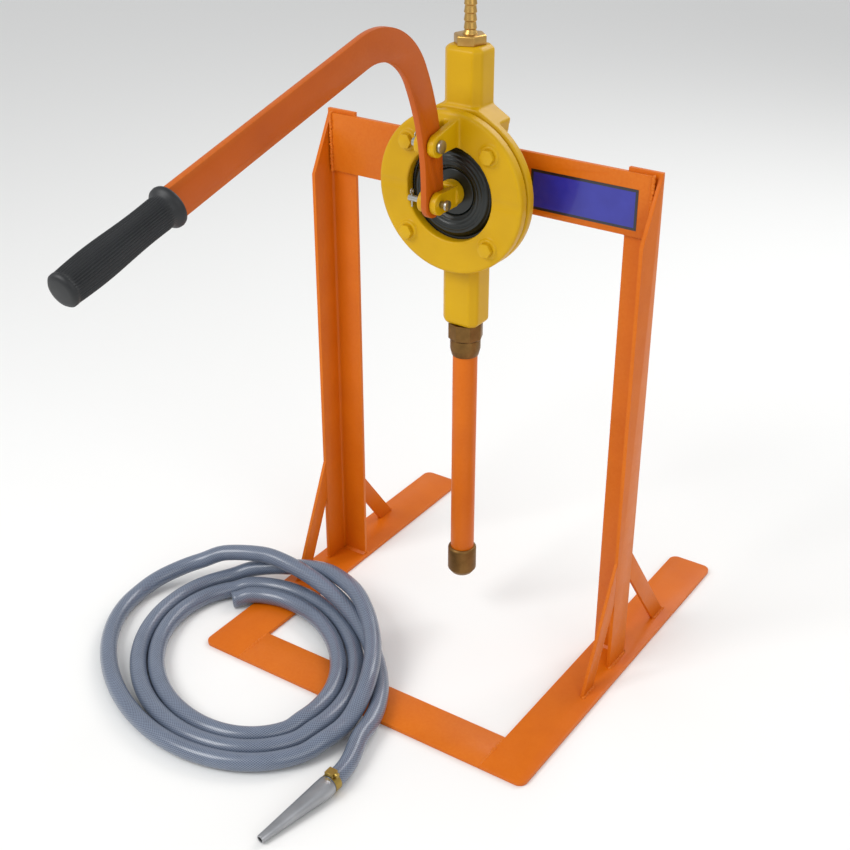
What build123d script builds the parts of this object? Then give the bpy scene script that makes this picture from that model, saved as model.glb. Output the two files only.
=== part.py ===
"""Hand-lever diaphragm pump on a floor stand, with its coiled delivery hose.

The origin is on the floor, under the middle of the front crossbar.
+X points to the right of someone working the lever, +Y to the back, +Z up.
All sizes are in millimetres.
"""

import os
from math import atan2, cos, degrees, pi, radians, sin, tan

from build123d import *

os.makedirs("parts", exist_ok=True)

# ---------------------------------------------------------------- clearances
running_gap = 0.05      # radial, shaft in a bore that turns on it
bolt_gap = 0.5          # radial, bolt through a drilled hole
slot_gap = 0.3          # radial, clevis pin in the lever's slot
side_gap = 0.6          # between the lever and the cheeks beside it
floor_gap = 0.3         # under what lies on the base flats

# --------------------------------------------------------------- floor stand
stand_width = 532.0     # over both feet
foot_length = 580.0
base_flat = 65.0        # width of the flat bar in the base
base_thick = 6.0
foot_corner = 12.0

upright_inset = 17.0    # from the feet's outer edges to the uprights
angle_leg = 45.0        # equal angle bar
angle_thick = 5.0
root_fillet = 4.0       # inside corner of the angle bar
upright_back = 282.0    # Y of the uprights' rear faces
upright_above_rail = 4.0
cope_top = 6.0          # how far under its top the upright's slant begins
cut_margin = 1.0        # how far a cut runs past what it cuts

rail_top = 712.0
rail_depth = 80.0
rail_thick = 6.0
rail_bolt_x = 46.0      # rail bolts, from the pump's axis
rail_bolt_z = 22.0
rail_bolt_reach = 12.0  # what stands in the pump's pad
rail_bolt_hole = 15.0

strap_width = 26.0
strap_thick = 5.0
front_strap_reach = 78.0    # how far its foot stands ahead of the upright
rear_strap_reach = 126.0
front_strap_rise = 176.0
rear_strap_rise = 170.0
weld = 4.0              # leg of the fillet welds
weld_slope = 3.6

# ---------------------------------------------------------------------- pump
pump_below_rail_top = 46.0  # the diaphragm's axis under the rail's top edge
pump_radius = 105.0
flange_thick = 14.0
rim_round = 3.0
ring_thick = 15.0
ring_round = 4.0
ring_land = 43.0        # width of the ring's flat face
groove_width = 2.0      # grooves across the ring's face
groove_height = 12.0
diaphragm_thick = 4.0
body_depth = 58.0       # from the rail to the flange's front face
bowl_taper = 14.0       # what the bowl loses in radius towards the rail
pad_height = 9.0        # pad that bears on the rail
pad_margin_x = 16.0
pad_margin_z = 14.0
pad_corner = 12.0
chamber_edge = 2.0      # what the chamber is wider than the ring's opening
chamber_depth = 38.0
chamber_taper = 16.0
neck_width = 54.0
neck_depth = 46.0
neck_chamfer = 9.0
end_chamfer = 5.0
neck_from_flange = 27.0     # neck's centre line behind the flange's front face
neck_rise = 177.0       # from the diaphragm's axis up to the delivery neck's end
neck_drop = 190.0       # and down to the suction neck's end
shoulder_angle = 60.0       # where the shoulders leave the flange's rim

clamp_inset = 21.0      # from the flange's rim to the bolt circle
clamp_count = 4
clamp_start = 45.0      # angle of the first clamp bolt
bolt_radius = 5.0
bolt_head = 6.4
bolt_tail = 12.0        # thread that shows behind a nut
nut_height = 8.0
nut_gap = 1.5
boss_margin = 8.0       # what a boss is wider than its bolt
boss_height = 4.0

valve_bore = 15.0       # radius of the valve chambers
passage_radius = 11.0
ball_radius = 12.0
seat_height = 8.0
seat_hole = 9.0
seat_chamfer = 1.0
ball_gap = 0.05
ball_lift = 6.0
inlet_seat_drop = 156.0     # from the diaphragm's axis to the inlet seat's underside
outlet_seat_rise = 104.0
stop_radius = 2.5
stop_gap = 0.3          # between a lifted ball and its stop
stop_end_gap = 0.2      # over both ends of a stop
valve_spare = 4.0       # height left over a stop's middle
passage_overlap = 20.0

thread_radius = 10.5    # delivery bushing's thread
thread_length = 16.0
bushing_af = 36.0
bushing_height = 12.0
bushing_chamfer = 1.5
bushing_turn = 15.0
barb_radius = 8.0
barb_bore = 5.0
barb_shank = 6.0        # radius of the barb's plain part
barb_collar = 1.5
barb_neck = 5.0         # height of the collar's cone
barb_lip = 1.2          # height of each rib's sharp side
barb_pitch = 9.5
barb_depth = 1.2
barb_count = 5

union_sides = 8
union_chamfer = 2.0
union_wall = 4.0
union_lip = 6.0         # depth of the tail's closed top
union_cone = 0.6        # part of the tail that is straight
union_rim = 1.2
union_af = 44.0
union_nut_height = 24.0
union_tail_height = 24.0
union_tail_radius = 20.5
union_wall_gap = 0.1

pipe_radius = 16.85     # 1 inch steel pipe
pipe_wall = 3.25
cup_radius = 20.5
cup_height = 44.0
cup_bottom = 76.0
cup_floor = 20.0        # from the cup's mouth to the pipe's end
cup_inlet = 13.0        # radius of the suction inlet
cup_foot = (5.0, 7.0)   # chamfer at the cup's foot, across and up
cup_rim = (2.0, 3.0)    # and at its rim
strainer_thick = 2.0
strainer_hole = 2.2
strainer_circle = 7.5
strainer_count = 6

# --------------------------------------------------------------- lever train
pivot_reach = 42.0      # fulcrum pin ahead of the ring's face
pivot_above_opening = 12.0
pin_radius = 5.0
clevis_reach = 36.0     # clevis pin ahead of the ring's face
clevis_pin_radius = 4.0
pin_extra = 0.5         # what a pin's plain part is longer than its ears
fulcrum_tail = 8.0      # what stands out for the split pin
fulcrum_head = (8.0, 4.0)   # radius and thickness
clevis_tail = 20.0
clevis_reach_right = 7.0
clevis_head = (6.5, 3.0)
split_inset = 4.0       # split pin from its cross pin's end
split_radius = 1.2
split_hole = 1.3
split_leg = 7.0
split_eye = 2.6
split_wire = 1.0
lever_width = 38.0
lever_thick = 8.0
shank_start = 15.0      # straight stretch above the clevis pin
shank_radius = 330.0    # long bend past the fulcrum pin
shank_angle = 27.0
gooseneck_radius = 88.0
gooseneck_angle = 77.5
run_length = 322.0      # straight run, from the gooseneck to the grip
grip_length = 150.0
grip_radius = 17.5
grip_flange_radius = 22.0
grip_flange = 8.0
grip_round = 4.0
tang_overlap = 2.0
tang_radius = 8.0       # round end of the lever inside the grip
grip_wall_end = 8.0
cheek_thick = 9.0
cheek_radius = 14.0
cheek_root = 13.0       # half height of the cheeks where they join the hub
hub_radius = 17.0
hub_length = 14.0
slot_room = 30.0        # what the clevis slot runs past the pin
ear_thick = 10.0
ear_radius = 14.0
ear_slot_depth = 6.0    # lever slot's depth in the ring
ear_slot_room = 40.0
ear_slot_height = 120.0
ear_slot_middle = 90.0
travel_slot = 5.0       # extra length of the lever's lower hole

plate_radius = 30.0
plate_thick = 4.0
plate_round = 2.0
plate_roll_gap = 1.0    # from the plates' rim to the roll
roll_edge = 4.0         # from the roll to the ring's opening
roll_height = 0.7       # of half its width
roll_wall = 0.6         # of the rubber's thickness
rubber_edge = 3.0       # rubber's rim inside the flange's
stud_radius = 6.0
stud_nose = 20.0        # stud ahead of the front plate
stud_tail = 12.0
stud_nut_af = 19.0
stud_nut_height = 9.0

# ---------------------------------------------------------------- name plate
plate_left = 74.0
plate_width = 148.0
plate_height = 52.0
plate_drop = 6.0
plate_sheet = 0.5

# ---------------------------------------------------------------------- hose
hose_radius = 12.0
hose_wall = 3.5
coil_center = (-184.0, -33.0)
coil_long = 260.0       # half of the coil's outer length
coil_short = 190.0      # half of its outer width
coil_turn = 153.0       # direction of its length, from +X
coil_hole_center = (-170.0, -40.0)
coil_hole_long = 136.0
coil_hole_short = 120.0
coil_height = 72.0
hose_gap = 3.0          # between the hose and the left front strap
clamp_width = 11.0
clamp_band = 1.0
clamp_inset_end = 2.0   # from the hose's end to its clamp
housing_size = (12.0, 1.0, 6.0)     # across, wider than the band, high
housing_lift = 2.5
screw_radius = 3.4
screw_length = 5.0
nozzle_collar = 10.0
nozzle_length = 104.0
nozzle_margin = 1.5
nozzle_heading = (-0.155, -0.985, -0.07)
nozzle_tip = 5.5
nozzle_bore = 3.5

# ------------------------------------------------------------- derived places
foot_outer = stand_width / 2
foot_inner = foot_outer - base_flat
base_front = -base_flat / 2
base_rear = base_front + foot_length
upright_outer = foot_outer - upright_inset
upright_inner = upright_outer - angle_leg
upright_front = upright_back - angle_leg
rail_front = upright_back - angle_thick - rail_thick
rail_bottom = rail_top - rail_depth
upright_top = rail_top + upright_above_rail
pump_z = rail_top - pump_below_rail_top     # height of the diaphragm's axis
flange_front = rail_front - body_depth
flange_rear = flange_front + flange_thick
ring_rear = flange_front - diaphragm_thick
ring_front = ring_rear - ring_thick
neck_y = flange_front + neck_from_flange
neck_top = pump_z + neck_rise
neck_bottom = pump_z - neck_drop
inlet_seat_z = pump_z - inlet_seat_drop
outlet_seat_z = pump_z + outlet_seat_rise
opening_radius = pump_radius - ring_land
clamp_circle = pump_radius - clamp_inset
bowl_radius = clamp_circle - 12
bowl_back_radius = bowl_radius - bowl_taper
chamber_radius = opening_radius + chamber_edge
bolt_af = 3.4 * bolt_radius
boss_radius = bolt_radius + boss_margin
pivot_y = ring_front - pivot_reach
pivot_z = pump_z + opening_radius + pivot_above_opening
clevis_y = ring_front - clevis_reach
bushing_top = neck_top + bushing_height
cup_top = cup_bottom + cup_height
pipe_bottom = cup_bottom + cup_floor
hose_bore = hose_radius - hose_wall
nozzle_radius = hose_radius + nozzle_margin
tail_top = neck_bottom - union_nut_height
union_bottom = tail_top - union_tail_height
union_hole = valve_bore - union_wall
pipe_top = tail_top - union_lip


def write(part, label):
    """Label a finished piece and write it to its own STEP file."""
    part.label = label
    export_step(part, f"parts/{label}.step")


def front_plane(y):
    """A plane facing the front: its local x is +X, its local y is +Z."""
    return Plane(origin=(0, y, 0), x_dir=(1, 0, 0), z_dir=(0, -1, 0))


def side_plane(x):
    """A plane facing +X: its local x is +Y, its local y is +Z."""
    return Plane(origin=(x, 0, 0), x_dir=(0, 1, 0), z_dir=(1, 0, 0))


def pump_circle(radius, count, start):
    """Places on a circle round the diaphragm's axis, for a front plane."""
    angles = [radians(start + i * 360 / count) for i in range(count)]
    return [(radius * cos(angle), pump_z + radius * sin(angle)) for angle in angles]


def hole_places(places, y, turn=90):
    """Places for holes along Y: 90 drills to the back, -90 to the front."""
    return [Location((x, y, z), (turn, 0, 0)) for x, z in places]


def column(radius, z, height, align=Align.MIN, mode=Mode.ADD):
    """A cylinder on the neck's axis that stands on z, or hangs from it."""
    with Locations((0, neck_y, z)):
        Cylinder(radius, height, align=(Align.CENTER, Align.CENTER, align), mode=mode)


# =============================================================== floor stand
for side, name in ((-1, "left_foot"), (1, "right_foot")):
    with BuildPart() as foot:
        with BuildSketch():
            with Locations((side * (foot_outer - base_flat / 2), (base_front + base_rear) / 2)):
                Rectangle(base_flat, foot_length)
        extrude(amount=base_thick)
        rear_edges = foot.edges().filter_by(Axis.Z).sort_by(Axis.Y)[-2:]
        fillet(rear_edges, foot_corner)
        front_outer = foot.edges().filter_by(Axis.Z).group_by(Axis.Y)[0].sort_by(Axis.X)
        fillet(front_outer[-1] if side > 0 else front_outer[0], foot_corner)
    write(foot.part, name)

with BuildPart() as front_crossbar:
    with BuildSketch():
        Rectangle(2 * foot_inner, base_flat)
    extrude(amount=base_thick)
write(front_crossbar.part, "front_crossbar")

# Each upright is an angle bar: one leg faces the front behind the rail, the
# other points forward at the outside and is coped to a slant beside the rail.
for side, name in ((-1, "left_upright"), (1, "right_upright")):
    with BuildPart() as upright:
        with BuildSketch(Plane.XY.offset(base_thick)):
            with BuildLine():
                Polyline(
                    (side * upright_inner, upright_back),
                    (side * upright_outer, upright_back),
                    (side * upright_outer, upright_front),
                    (side * (upright_outer - angle_thick), upright_front),
                    (side * (upright_outer - angle_thick), upright_back - angle_thick),
                    (side * upright_inner, upright_back - angle_thick),
                    close=True,
                )
            make_face()
        extrude(amount=upright_top - base_thick)
        root_edge = upright.edges().filter_by(Axis.Z).sort_by(
            lambda e: abs(abs(e.center().X) - upright_outer + angle_thick)
            + abs(e.center().Y - upright_back + angle_thick))[0]
        fillet(root_edge, root_fillet)
        with BuildSketch(side_plane(side * (upright_outer + angle_thick))):
            with BuildLine():
                Polyline(
                    (upright_front - cut_margin, rail_bottom),
                    (upright_back - angle_thick, upright_top - cope_top),
                    (upright_back - angle_thick, upright_top + cut_margin),
                    (upright_front - cut_margin, upright_top + cut_margin),
                    close=True,
                )
            make_face()
        extrude(amount=-side * 3 * angle_thick, mode=Mode.SUBTRACT)
    write(upright.part, name)

rail_places = [(x, pump_z + z) for x in (-rail_bolt_x, rail_bolt_x) for z in (-rail_bolt_z, rail_bolt_z)]
with BuildPart() as top_rail:
    with BuildSketch(front_plane(rail_front)):
        with Locations((0, (rail_top + rail_bottom) / 2)):
            Rectangle(2 * (upright_outer - angle_thick - root_fillet), rail_depth)
    extrude(amount=-rail_thick)
    with Locations(*hole_places(rail_places, rail_front)):
        Hole(bolt_radius + bolt_gap, depth=4 * rail_thick)
write(top_rail.part, "top_rail")

# Slanted flat straps from the feet up to the uprights, in the plane of the
# forward leg: one ahead of the upright and one behind it.
for side, side_name in ((-1, "left"), (1, "right")):
    for face, reach, rise, name in (
        (upright_front, -front_strap_reach, front_strap_rise, "front"),
        (upright_back, rear_strap_reach, rear_strap_rise, "rear"),
    ):
        lean = atan2(abs(reach), rise)
        foot_width = strap_width / cos(lean)
        toward = 1 if reach > 0 else -1
        with BuildPart() as strap:
            with BuildSketch(side_plane(side * upright_outer)):
                with BuildLine():
                    Polyline(
                        (face, base_thick + rise),
                        (face + reach, base_thick),
                        (face + reach - toward * foot_width, base_thick),
                        (face, base_thick + rise - strap_width / sin(lean)),
                        close=True,
                    )
                make_face()
            extrude(amount=-side * strap_thick)
        write(strap.part, f"{side_name}_{name}_strap")

# A fillet weld where each upright's wide leg meets its foot.
for side, side_name in ((-1, "left"), (1, "right")):
    with BuildPart() as bead:
        inner_face = side * (upright_outer - angle_thick)
        with BuildSketch(Plane.XY.offset(base_thick)):
            with BuildLine():
                Polyline(
                    (side * upright_inner, upright_back - angle_thick),
                    (inner_face - side * weld, upright_back - angle_thick),
                    (inner_face - side * weld, upright_back - angle_thick - weld),
                    (side * upright_inner, upright_back - angle_thick - weld),
                    close=True,
                )
            make_face()
        extrude(amount=weld)
        chamfer(
            bead.edges().filter_by(Axis.X).sort_by(Axis.Z)[-2:].sort_by(Axis.Y)[0],
            weld_slope,
        )
    write(bead.part, f"{side_name}_foot_weld")

# ======================================================== pump body casting
body_plane = front_plane(flange_front)
clamp_places = pump_circle(clamp_circle, clamp_count, clamp_start)
nut_room = bolt_af / 3 ** 0.5 + nut_gap

# The shoulders leave the flange's rim at a tangent and meet the neck's sides.
shoulder_x = pump_radius * cos(radians(shoulder_angle))
shoulder_z = pump_radius * sin(radians(shoulder_angle))
shoulder_rise = (shoulder_x - neck_width / 2) / tan(radians(shoulder_angle))
shoulder_outline = [
    (-neck_width / 2, pump_z + shoulder_z + shoulder_rise),
    (neck_width / 2, pump_z + shoulder_z + shoulder_rise),
    (shoulder_x, pump_z + shoulder_z),
    (bowl_back_radius * 0.7, pump_z + bowl_back_radius * 0.4),
    (-bowl_back_radius * 0.7, pump_z + bowl_back_radius * 0.4),
    (-shoulder_x, pump_z + shoulder_z),
]

with BuildPart() as pump_body:
    with BuildSketch(body_plane):
        with Locations((0, pump_z)):
            Circle(pump_radius)
    extrude(amount=-flange_thick)
    fillet(pump_body.edges().filter_by(GeomType.CIRCLE).sort_by(Axis.Y)[-1], rim_round)
    # bowl behind the flange
    with BuildSketch(front_plane(flange_rear), mode=Mode.PRIVATE) as bowl_wide:
        with Locations((0, pump_z)):
            Circle(bowl_radius)
    with BuildSketch(front_plane(rail_front - pad_height), mode=Mode.PRIVATE) as bowl_narrow:
        with Locations((0, pump_z)):
            Circle(bowl_back_radius)
    loft(sections=[bowl_wide.sketch, bowl_narrow.sketch])
    # pad that bears on the rail
    with BuildSketch(front_plane(rail_front - pad_height)):
        with Locations((0, pump_z)):
            pad_width = 2 * (rail_bolt_x + pad_margin_x)
            RectangleRounded(pad_width, 2 * (rail_bolt_z + pad_margin_z), pad_corner)
    extrude(amount=-pad_height)
    # necks for the two valves, chamfered all round, and the shoulders that
    # carry the upper one
    with BuildSketch(Plane.XY.offset(neck_bottom + end_chamfer)) as neck_section:
        with Locations((0, neck_y)):
            Rectangle(neck_width, neck_depth)
        chamfer(neck_section.vertices(), neck_chamfer)
    extrude(amount=neck_top - neck_bottom - 2 * end_chamfer)
    extrude(pump_body.faces().sort_by(Axis.Z)[-1], amount=end_chamfer, taper=45)
    extrude(pump_body.faces().sort_by(Axis.Z)[0], amount=end_chamfer, taper=45)
    with BuildSketch(body_plane):
        with BuildLine():
            Polyline(*shoulder_outline, close=True)
        make_face()
    extrude(amount=-(neck_from_flange + neck_depth / 2 - neck_chamfer))
    # pumping chamber
    with BuildSketch(body_plane, mode=Mode.PRIVATE) as chamber_wide:
        with Locations((0, pump_z)):
            Circle(chamber_radius)
    with BuildSketch(front_plane(flange_front + chamber_depth), mode=Mode.PRIVATE) as chamber_narrow:
        with Locations((0, pump_z)):
            Circle(chamber_radius - chamber_taper)
    loft(sections=[chamber_wide.sketch, chamber_narrow.sketch], mode=Mode.SUBTRACT)
    # straight passage through both necks, with wider valve chambers
    passage_length = (outlet_seat_z - inlet_seat_z) + passage_overlap
    passage_bottom = inlet_seat_z - passage_overlap / 2
    column(passage_radius, passage_bottom, passage_length, mode=Mode.SUBTRACT)
    valve_room = seat_height + 2 * ball_radius + ball_lift + valve_spare
    column(valve_bore, neck_bottom, inlet_seat_z + valve_room - neck_bottom, mode=Mode.SUBTRACT)
    column(valve_bore, outlet_seat_z, valve_room, mode=Mode.SUBTRACT)
    thread_room = neck_top - outlet_seat_z - valve_room + 2
    column(thread_radius, neck_top, thread_room, Align.MAX, Mode.SUBTRACT)
    # room for the clamp nuts behind the flange
    with BuildSketch(front_plane(flange_rear)):
        with Locations(*clamp_places):
            Circle(nut_room)
    extrude(amount=-body_depth, mode=Mode.SUBTRACT)
    # bolt holes: clamp bolts through the flange, blind holes behind for the rail
    with Locations(*hole_places(clamp_places, flange_front)):
        Hole(bolt_radius + bolt_gap, depth=3 * flange_thick)
    with Locations(*hole_places(rail_places, rail_front, -90)):
        Hole(bolt_radius, depth=rail_bolt_hole)
write(pump_body.part, "pump_body")

# Front clamp ring with the two ears that carry the fulcrum pin.
ear_outer = lever_thick / 2 + side_gap + ear_thick
with BuildPart() as clamp_ring:
    with BuildSketch(front_plane(ring_front)):
        with Locations((0, pump_z)):
            Circle(pump_radius)
    extrude(amount=-ring_thick)
    front_rim = clamp_ring.edges().filter_by(GeomType.CIRCLE).sort_by(Axis.Y)[0]
    fillet(front_rim, ring_round)
    with BuildSketch(front_plane(ring_front)):
        with Locations(*clamp_places):
            Circle(boss_radius)
    extrude(amount=boss_height)
    # ears: a rounded nose that sweeps up into the ring's face
    with BuildSketch(side_plane(-ear_outer)):
        with BuildLine():
            Polyline(
                (ring_front + 2, pump_z + opening_radius + 1),
                (pivot_y + 8, pivot_z - ear_radius * 0.85),
                (pivot_y, pivot_z - ear_radius),
                (pivot_y, pivot_z + ear_radius),
                (pivot_y + 12, pivot_z + ear_radius + 3),
                (ring_front - 8, pump_z + pump_radius - 9),
                (ring_front + 2, pump_z + pump_radius - 4),
                close=True,
            )
        make_face()
        with Locations((pivot_y, pivot_z)):
            Circle(ear_radius)
    extrude(amount=2 * ear_outer)
    # slot for the lever
    with BuildSketch(side_plane(-lever_thick / 2 - side_gap)):
        slot_back = ring_front - ear_slot_depth
        slot_front = pivot_y - ear_slot_room
        with Locations(((slot_back + slot_front) / 2, pump_z + ear_slot_middle)):
            Rectangle(slot_back - slot_front, ear_slot_height)
    extrude(amount=lever_thick + 2 * side_gap, mode=Mode.SUBTRACT)
    # opening over the diaphragm, pin hole and bolt holes
    with BuildSketch(front_plane(ring_rear + 1)):
        with Locations((0, pump_z)):
            Circle(opening_radius)
    extrude(amount=ring_thick + 4, mode=Mode.SUBTRACT)
    with Locations(Location((0, pivot_y, pivot_z), (0, 90, 0))):
        Cylinder(pin_radius + running_gap, 4 * ear_outer, mode=Mode.SUBTRACT)
    with Locations(*hole_places(clamp_places, ring_front)):
        Hole(bolt_radius + bolt_gap, depth=3 * ring_thick)
    # shallow grooves across the ring at its widest points
    for side in (-1, 1):
        with Locations((side * (opening_radius + pump_radius) / 2, ring_front, pump_z)):
            Box(1.2 * ring_land, groove_width, groove_height, mode=Mode.SUBTRACT)
write(clamp_ring.part, "clamp_ring")

# Clamp bolts and their nuts: one node for each kind.
bolt_shank = boss_height + ring_thick + diaphragm_thick + flange_thick + nut_height + bolt_tail


def hex_bolt_group(label, places, y_under_head, shank, radius, af, head, facing=-1):
    """Hex bolts along Y; facing -1 puts the heads at the front."""
    with BuildPart() as bolts:
        plane = front_plane(y_under_head)
        with BuildSketch(plane):
            with Locations(*places):
                RegularPolygon(af / 2, 6, major_radius=False)
        extrude(amount=-facing * head)
        with BuildSketch(plane):
            with Locations(*places):
                Circle(radius)
        extrude(amount=facing * shank)
    write(bolts.part, label)


def hex_nut_group(label, places, y_start, radius, af, height):
    """Hex nuts along Y that run back from y_start."""
    with BuildPart() as nuts:
        with BuildSketch(front_plane(y_start)):
            with Locations(*places):
                RegularPolygon(af / 2, 6, major_radius=False)
                Circle(radius, mode=Mode.SUBTRACT)
        extrude(amount=-height)
    write(nuts.part, label)


hex_bolt_group("clamp_bolts", clamp_places, ring_front - boss_height,
               bolt_shank, bolt_radius, bolt_af, bolt_head)
hex_nut_group("clamp_nuts", clamp_places, flange_rear, bolt_radius, bolt_af, nut_height)
hex_bolt_group("rail_bolts", rail_places, upright_back - angle_thick,
               rail_thick + rail_bolt_reach, bolt_radius, bolt_af, bolt_head, facing=1)

# =============================================================== valve train
for z, seat_name, ball_name, stop_name in (
    (inlet_seat_z, "inlet_seat", "inlet_ball", "inlet_stop"),
    (outlet_seat_z, "outlet_seat", "outlet_ball", "outlet_stop"),
):
    ball_rest = (ball_radius ** 2 - seat_hole ** 2) ** 0.5
    ball_z = z + seat_height - seat_chamfer + ball_rest + ball_gap
    with BuildPart() as seat:
        column(valve_bore, z, seat_height)
        column(seat_hole, z, seat_height, mode=Mode.SUBTRACT)
        rim = seat.edges().filter_by(GeomType.CIRCLE).filter_by(
            lambda e: abs(e.radius - seat_hole) < 0.01).sort_by(Axis.Z)[-1]
        chamfer(rim, seat_chamfer)
    write(seat.part, seat_name)
    with BuildPart() as ball:
        with Locations((0, neck_y, ball_z)):
            Sphere(ball_radius)
    write(ball.part, ball_name)
    with BuildPart() as stop:
        stop_z = ball_z + ball_radius + ball_lift + stop_radius + stop_gap
        stop_length = 2 * (valve_bore ** 2 - stop_radius ** 2) ** 0.5 - stop_end_gap
        with Locations(Location((0, neck_y, stop_z), (0, 90, 0))):
            Cylinder(stop_radius, stop_length)
    write(stop.part, stop_name)

# Delivery side: hex bushing with a barbed hose tail.
with BuildPart() as bushing:
    with BuildSketch(Plane.XY.offset(neck_top)):
        with Locations((0, neck_y)):
            RegularPolygon(bushing_af / 2, 6, major_radius=False, rotation=bushing_turn)
    extrude(amount=bushing_height)
    chamfer(bushing.faces().sort_by(Axis.Z)[-1].edges(), bushing_chamfer)
    column(thread_radius, neck_top, thread_length, Align.MAX)
    column(barb_shank, neck_top - 2 * thread_length, 4 * thread_length, mode=Mode.SUBTRACT)
write(bushing.part, "delivery_bushing")

with BuildPart() as barb:
    with BuildSketch(Plane.XZ.offset(-neck_y)):
        with BuildLine():
            barb_foot = bushing_top + barb_neck
            barb_top = barb_foot + barb_count * barb_pitch
            outline = [
                (barb_bore, neck_top - thread_length),
                (barb_shank, neck_top - thread_length),
                (barb_shank, bushing_top),
                (barb_radius + barb_collar, bushing_top),
                (barb_radius - barb_depth, barb_foot),
            ]
            for i in range(barb_count):
                rib = barb_foot + i * barb_pitch
                outline += [(barb_radius, rib + barb_lip), (barb_radius - barb_depth, rib + barb_pitch)]
            outline += [(barb_bore, barb_top)]
            Polyline(*outline, close=True)
        make_face()
    revolve(axis=Axis((0, neck_y, 0), (0, 0, 1)))
write(barb.part, "delivery_barb")

# Suction side: union nut, tapered tail, pipe and foot strainer.
with BuildPart() as union_nut:
    with BuildSketch(Plane.XY.offset(neck_bottom)):
        with Locations((0, neck_y)):
            RegularPolygon(union_af / 2, union_sides, major_radius=False)
    extrude(amount=-union_nut_height)
    chamfer(union_nut.faces().sort_by(Axis.Z)[0].edges(), union_chamfer)
    column(valve_bore, neck_bottom, inlet_seat_z - neck_bottom)
    column(union_hole, union_bottom, neck_top - union_bottom, mode=Mode.SUBTRACT)
write(union_nut.part, "union_nut")

with BuildPart() as union_tail:
    with BuildSketch(Plane.XZ.offset(-neck_y)):
        with BuildLine():
            Polyline(
                (union_hole, tail_top),
                (union_tail_radius, tail_top),
                (union_tail_radius, tail_top - union_tail_height * union_cone),
                (pipe_radius + union_rim, union_bottom),
                (pipe_radius + union_wall_gap, union_bottom),
                (pipe_radius + union_wall_gap, pipe_top),
                (union_hole, pipe_top),
                close=True,
            )
        make_face()
    revolve(axis=Axis((0, neck_y, 0), (0, 0, 1)))
write(union_tail.part, "union_tail")

with BuildPart() as suction_pipe:
    column(pipe_radius, pipe_bottom, pipe_top - pipe_bottom)
    column(pipe_radius - pipe_wall, pipe_bottom, pipe_top - pipe_bottom, mode=Mode.SUBTRACT)
write(suction_pipe.part, "suction_pipe")

with BuildPart() as foot_cup:
    with BuildSketch(Plane.XZ.offset(-neck_y)):
        with BuildLine():
            Polyline(
                (cup_inlet, cup_bottom),
                (cup_radius - cup_foot[0], cup_bottom),
                (cup_radius, cup_bottom + cup_foot[1]),
                (cup_radius, cup_top - cup_rim[1]),
                (cup_radius - cup_rim[0], cup_top),
                (pipe_radius + union_wall_gap, cup_top),
                (pipe_radius + union_wall_gap, pipe_bottom),
                (cup_inlet, pipe_bottom),
                close=True,
            )
        make_face()
    revolve(axis=Axis((0, neck_y, 0), (0, 0, 1)))
write(foot_cup.part, "foot_cup")

with BuildPart() as strainer:
    with BuildSketch(Plane.XY.offset(pipe_bottom)):
        with Locations((0, neck_y)):
            Circle(pipe_radius - pipe_wall)
            with PolarLocations(strainer_circle, strainer_count):
                Circle(strainer_hole, mode=Mode.SUBTRACT)
            Circle(strainer_hole, mode=Mode.SUBTRACT)
    extrude(amount=strainer_thick)
write(strainer.part, "strainer_disc")

# ============================================================= moving pieces
# Rubber diaphragm: flat rim and centre with one forward convolution.
plate_y = flange_front - diaphragm_thick
with BuildPart() as diaphragm:
    with BuildSketch(Plane.XY.offset(pump_z)):
        with BuildLine():
            roll = (opening_radius - roll_edge - plate_radius) / 2
            crest = roll * roll_height
            middle = plate_radius + plate_roll_gap + roll
            inner, outer = middle - roll, middle + roll
            edge = pump_radius - rubber_edge
            back_inner = inner + diaphragm_thick * roll_wall
            back_outer = outer - diaphragm_thick * roll_wall
            Polyline((stud_radius, flange_front), (stud_radius, plate_y), (inner, plate_y))
            ThreePointArc((inner, plate_y), (middle, plate_y - crest), (outer, plate_y))
            Polyline((outer, plate_y), (edge, plate_y), (edge, flange_front), (back_outer, flange_front))
            ThreePointArc(
                (back_outer, flange_front), (middle, flange_front - crest), (back_inner, flange_front))
            Line((back_inner, flange_front), (stud_radius, flange_front))
        make_face()
    revolve(axis=Axis((0, 0, pump_z), (0, 1, 0)))
    with Locations(*hole_places(clamp_places, flange_front)):
        Hole(bolt_radius + bolt_gap, depth=10 * diaphragm_thick)
write(diaphragm.part, "diaphragm")


def axial_disc(radius, hole, y_start, length, label, round_edge=0.0):
    """A disc on the diaphragm's axis, from y_start to the back."""
    with BuildPart() as disc:
        with BuildSketch(front_plane(y_start)):
            with Locations((0, pump_z)):
                Circle(radius)
                if hole:
                    Circle(hole, mode=Mode.SUBTRACT)
        extrude(amount=-length)
        if round_edge:
            rim = disc.edges().filter_by(GeomType.CIRCLE).filter_by(
                lambda e: abs(e.radius - radius) < 0.01).sort_by(Axis.Y)[0]
            fillet(rim, round_edge)
    write(disc.part, label)


axial_disc(plate_radius, stud_radius, plate_y - plate_thick, plate_thick, "front_plate", plate_round)
axial_disc(plate_radius, stud_radius, flange_front, plate_thick, "rear_plate")
stud_front = plate_y - plate_thick - stud_nose
stud_back = flange_front + plate_thick + stud_tail
axial_disc(stud_radius, 0, stud_front, stud_back - stud_front, "center_stud")
hex_nut_group("stud_nut", [(0, pump_z)], flange_front + plate_thick,
              stud_radius, stud_nut_af, stud_nut_height)

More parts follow.
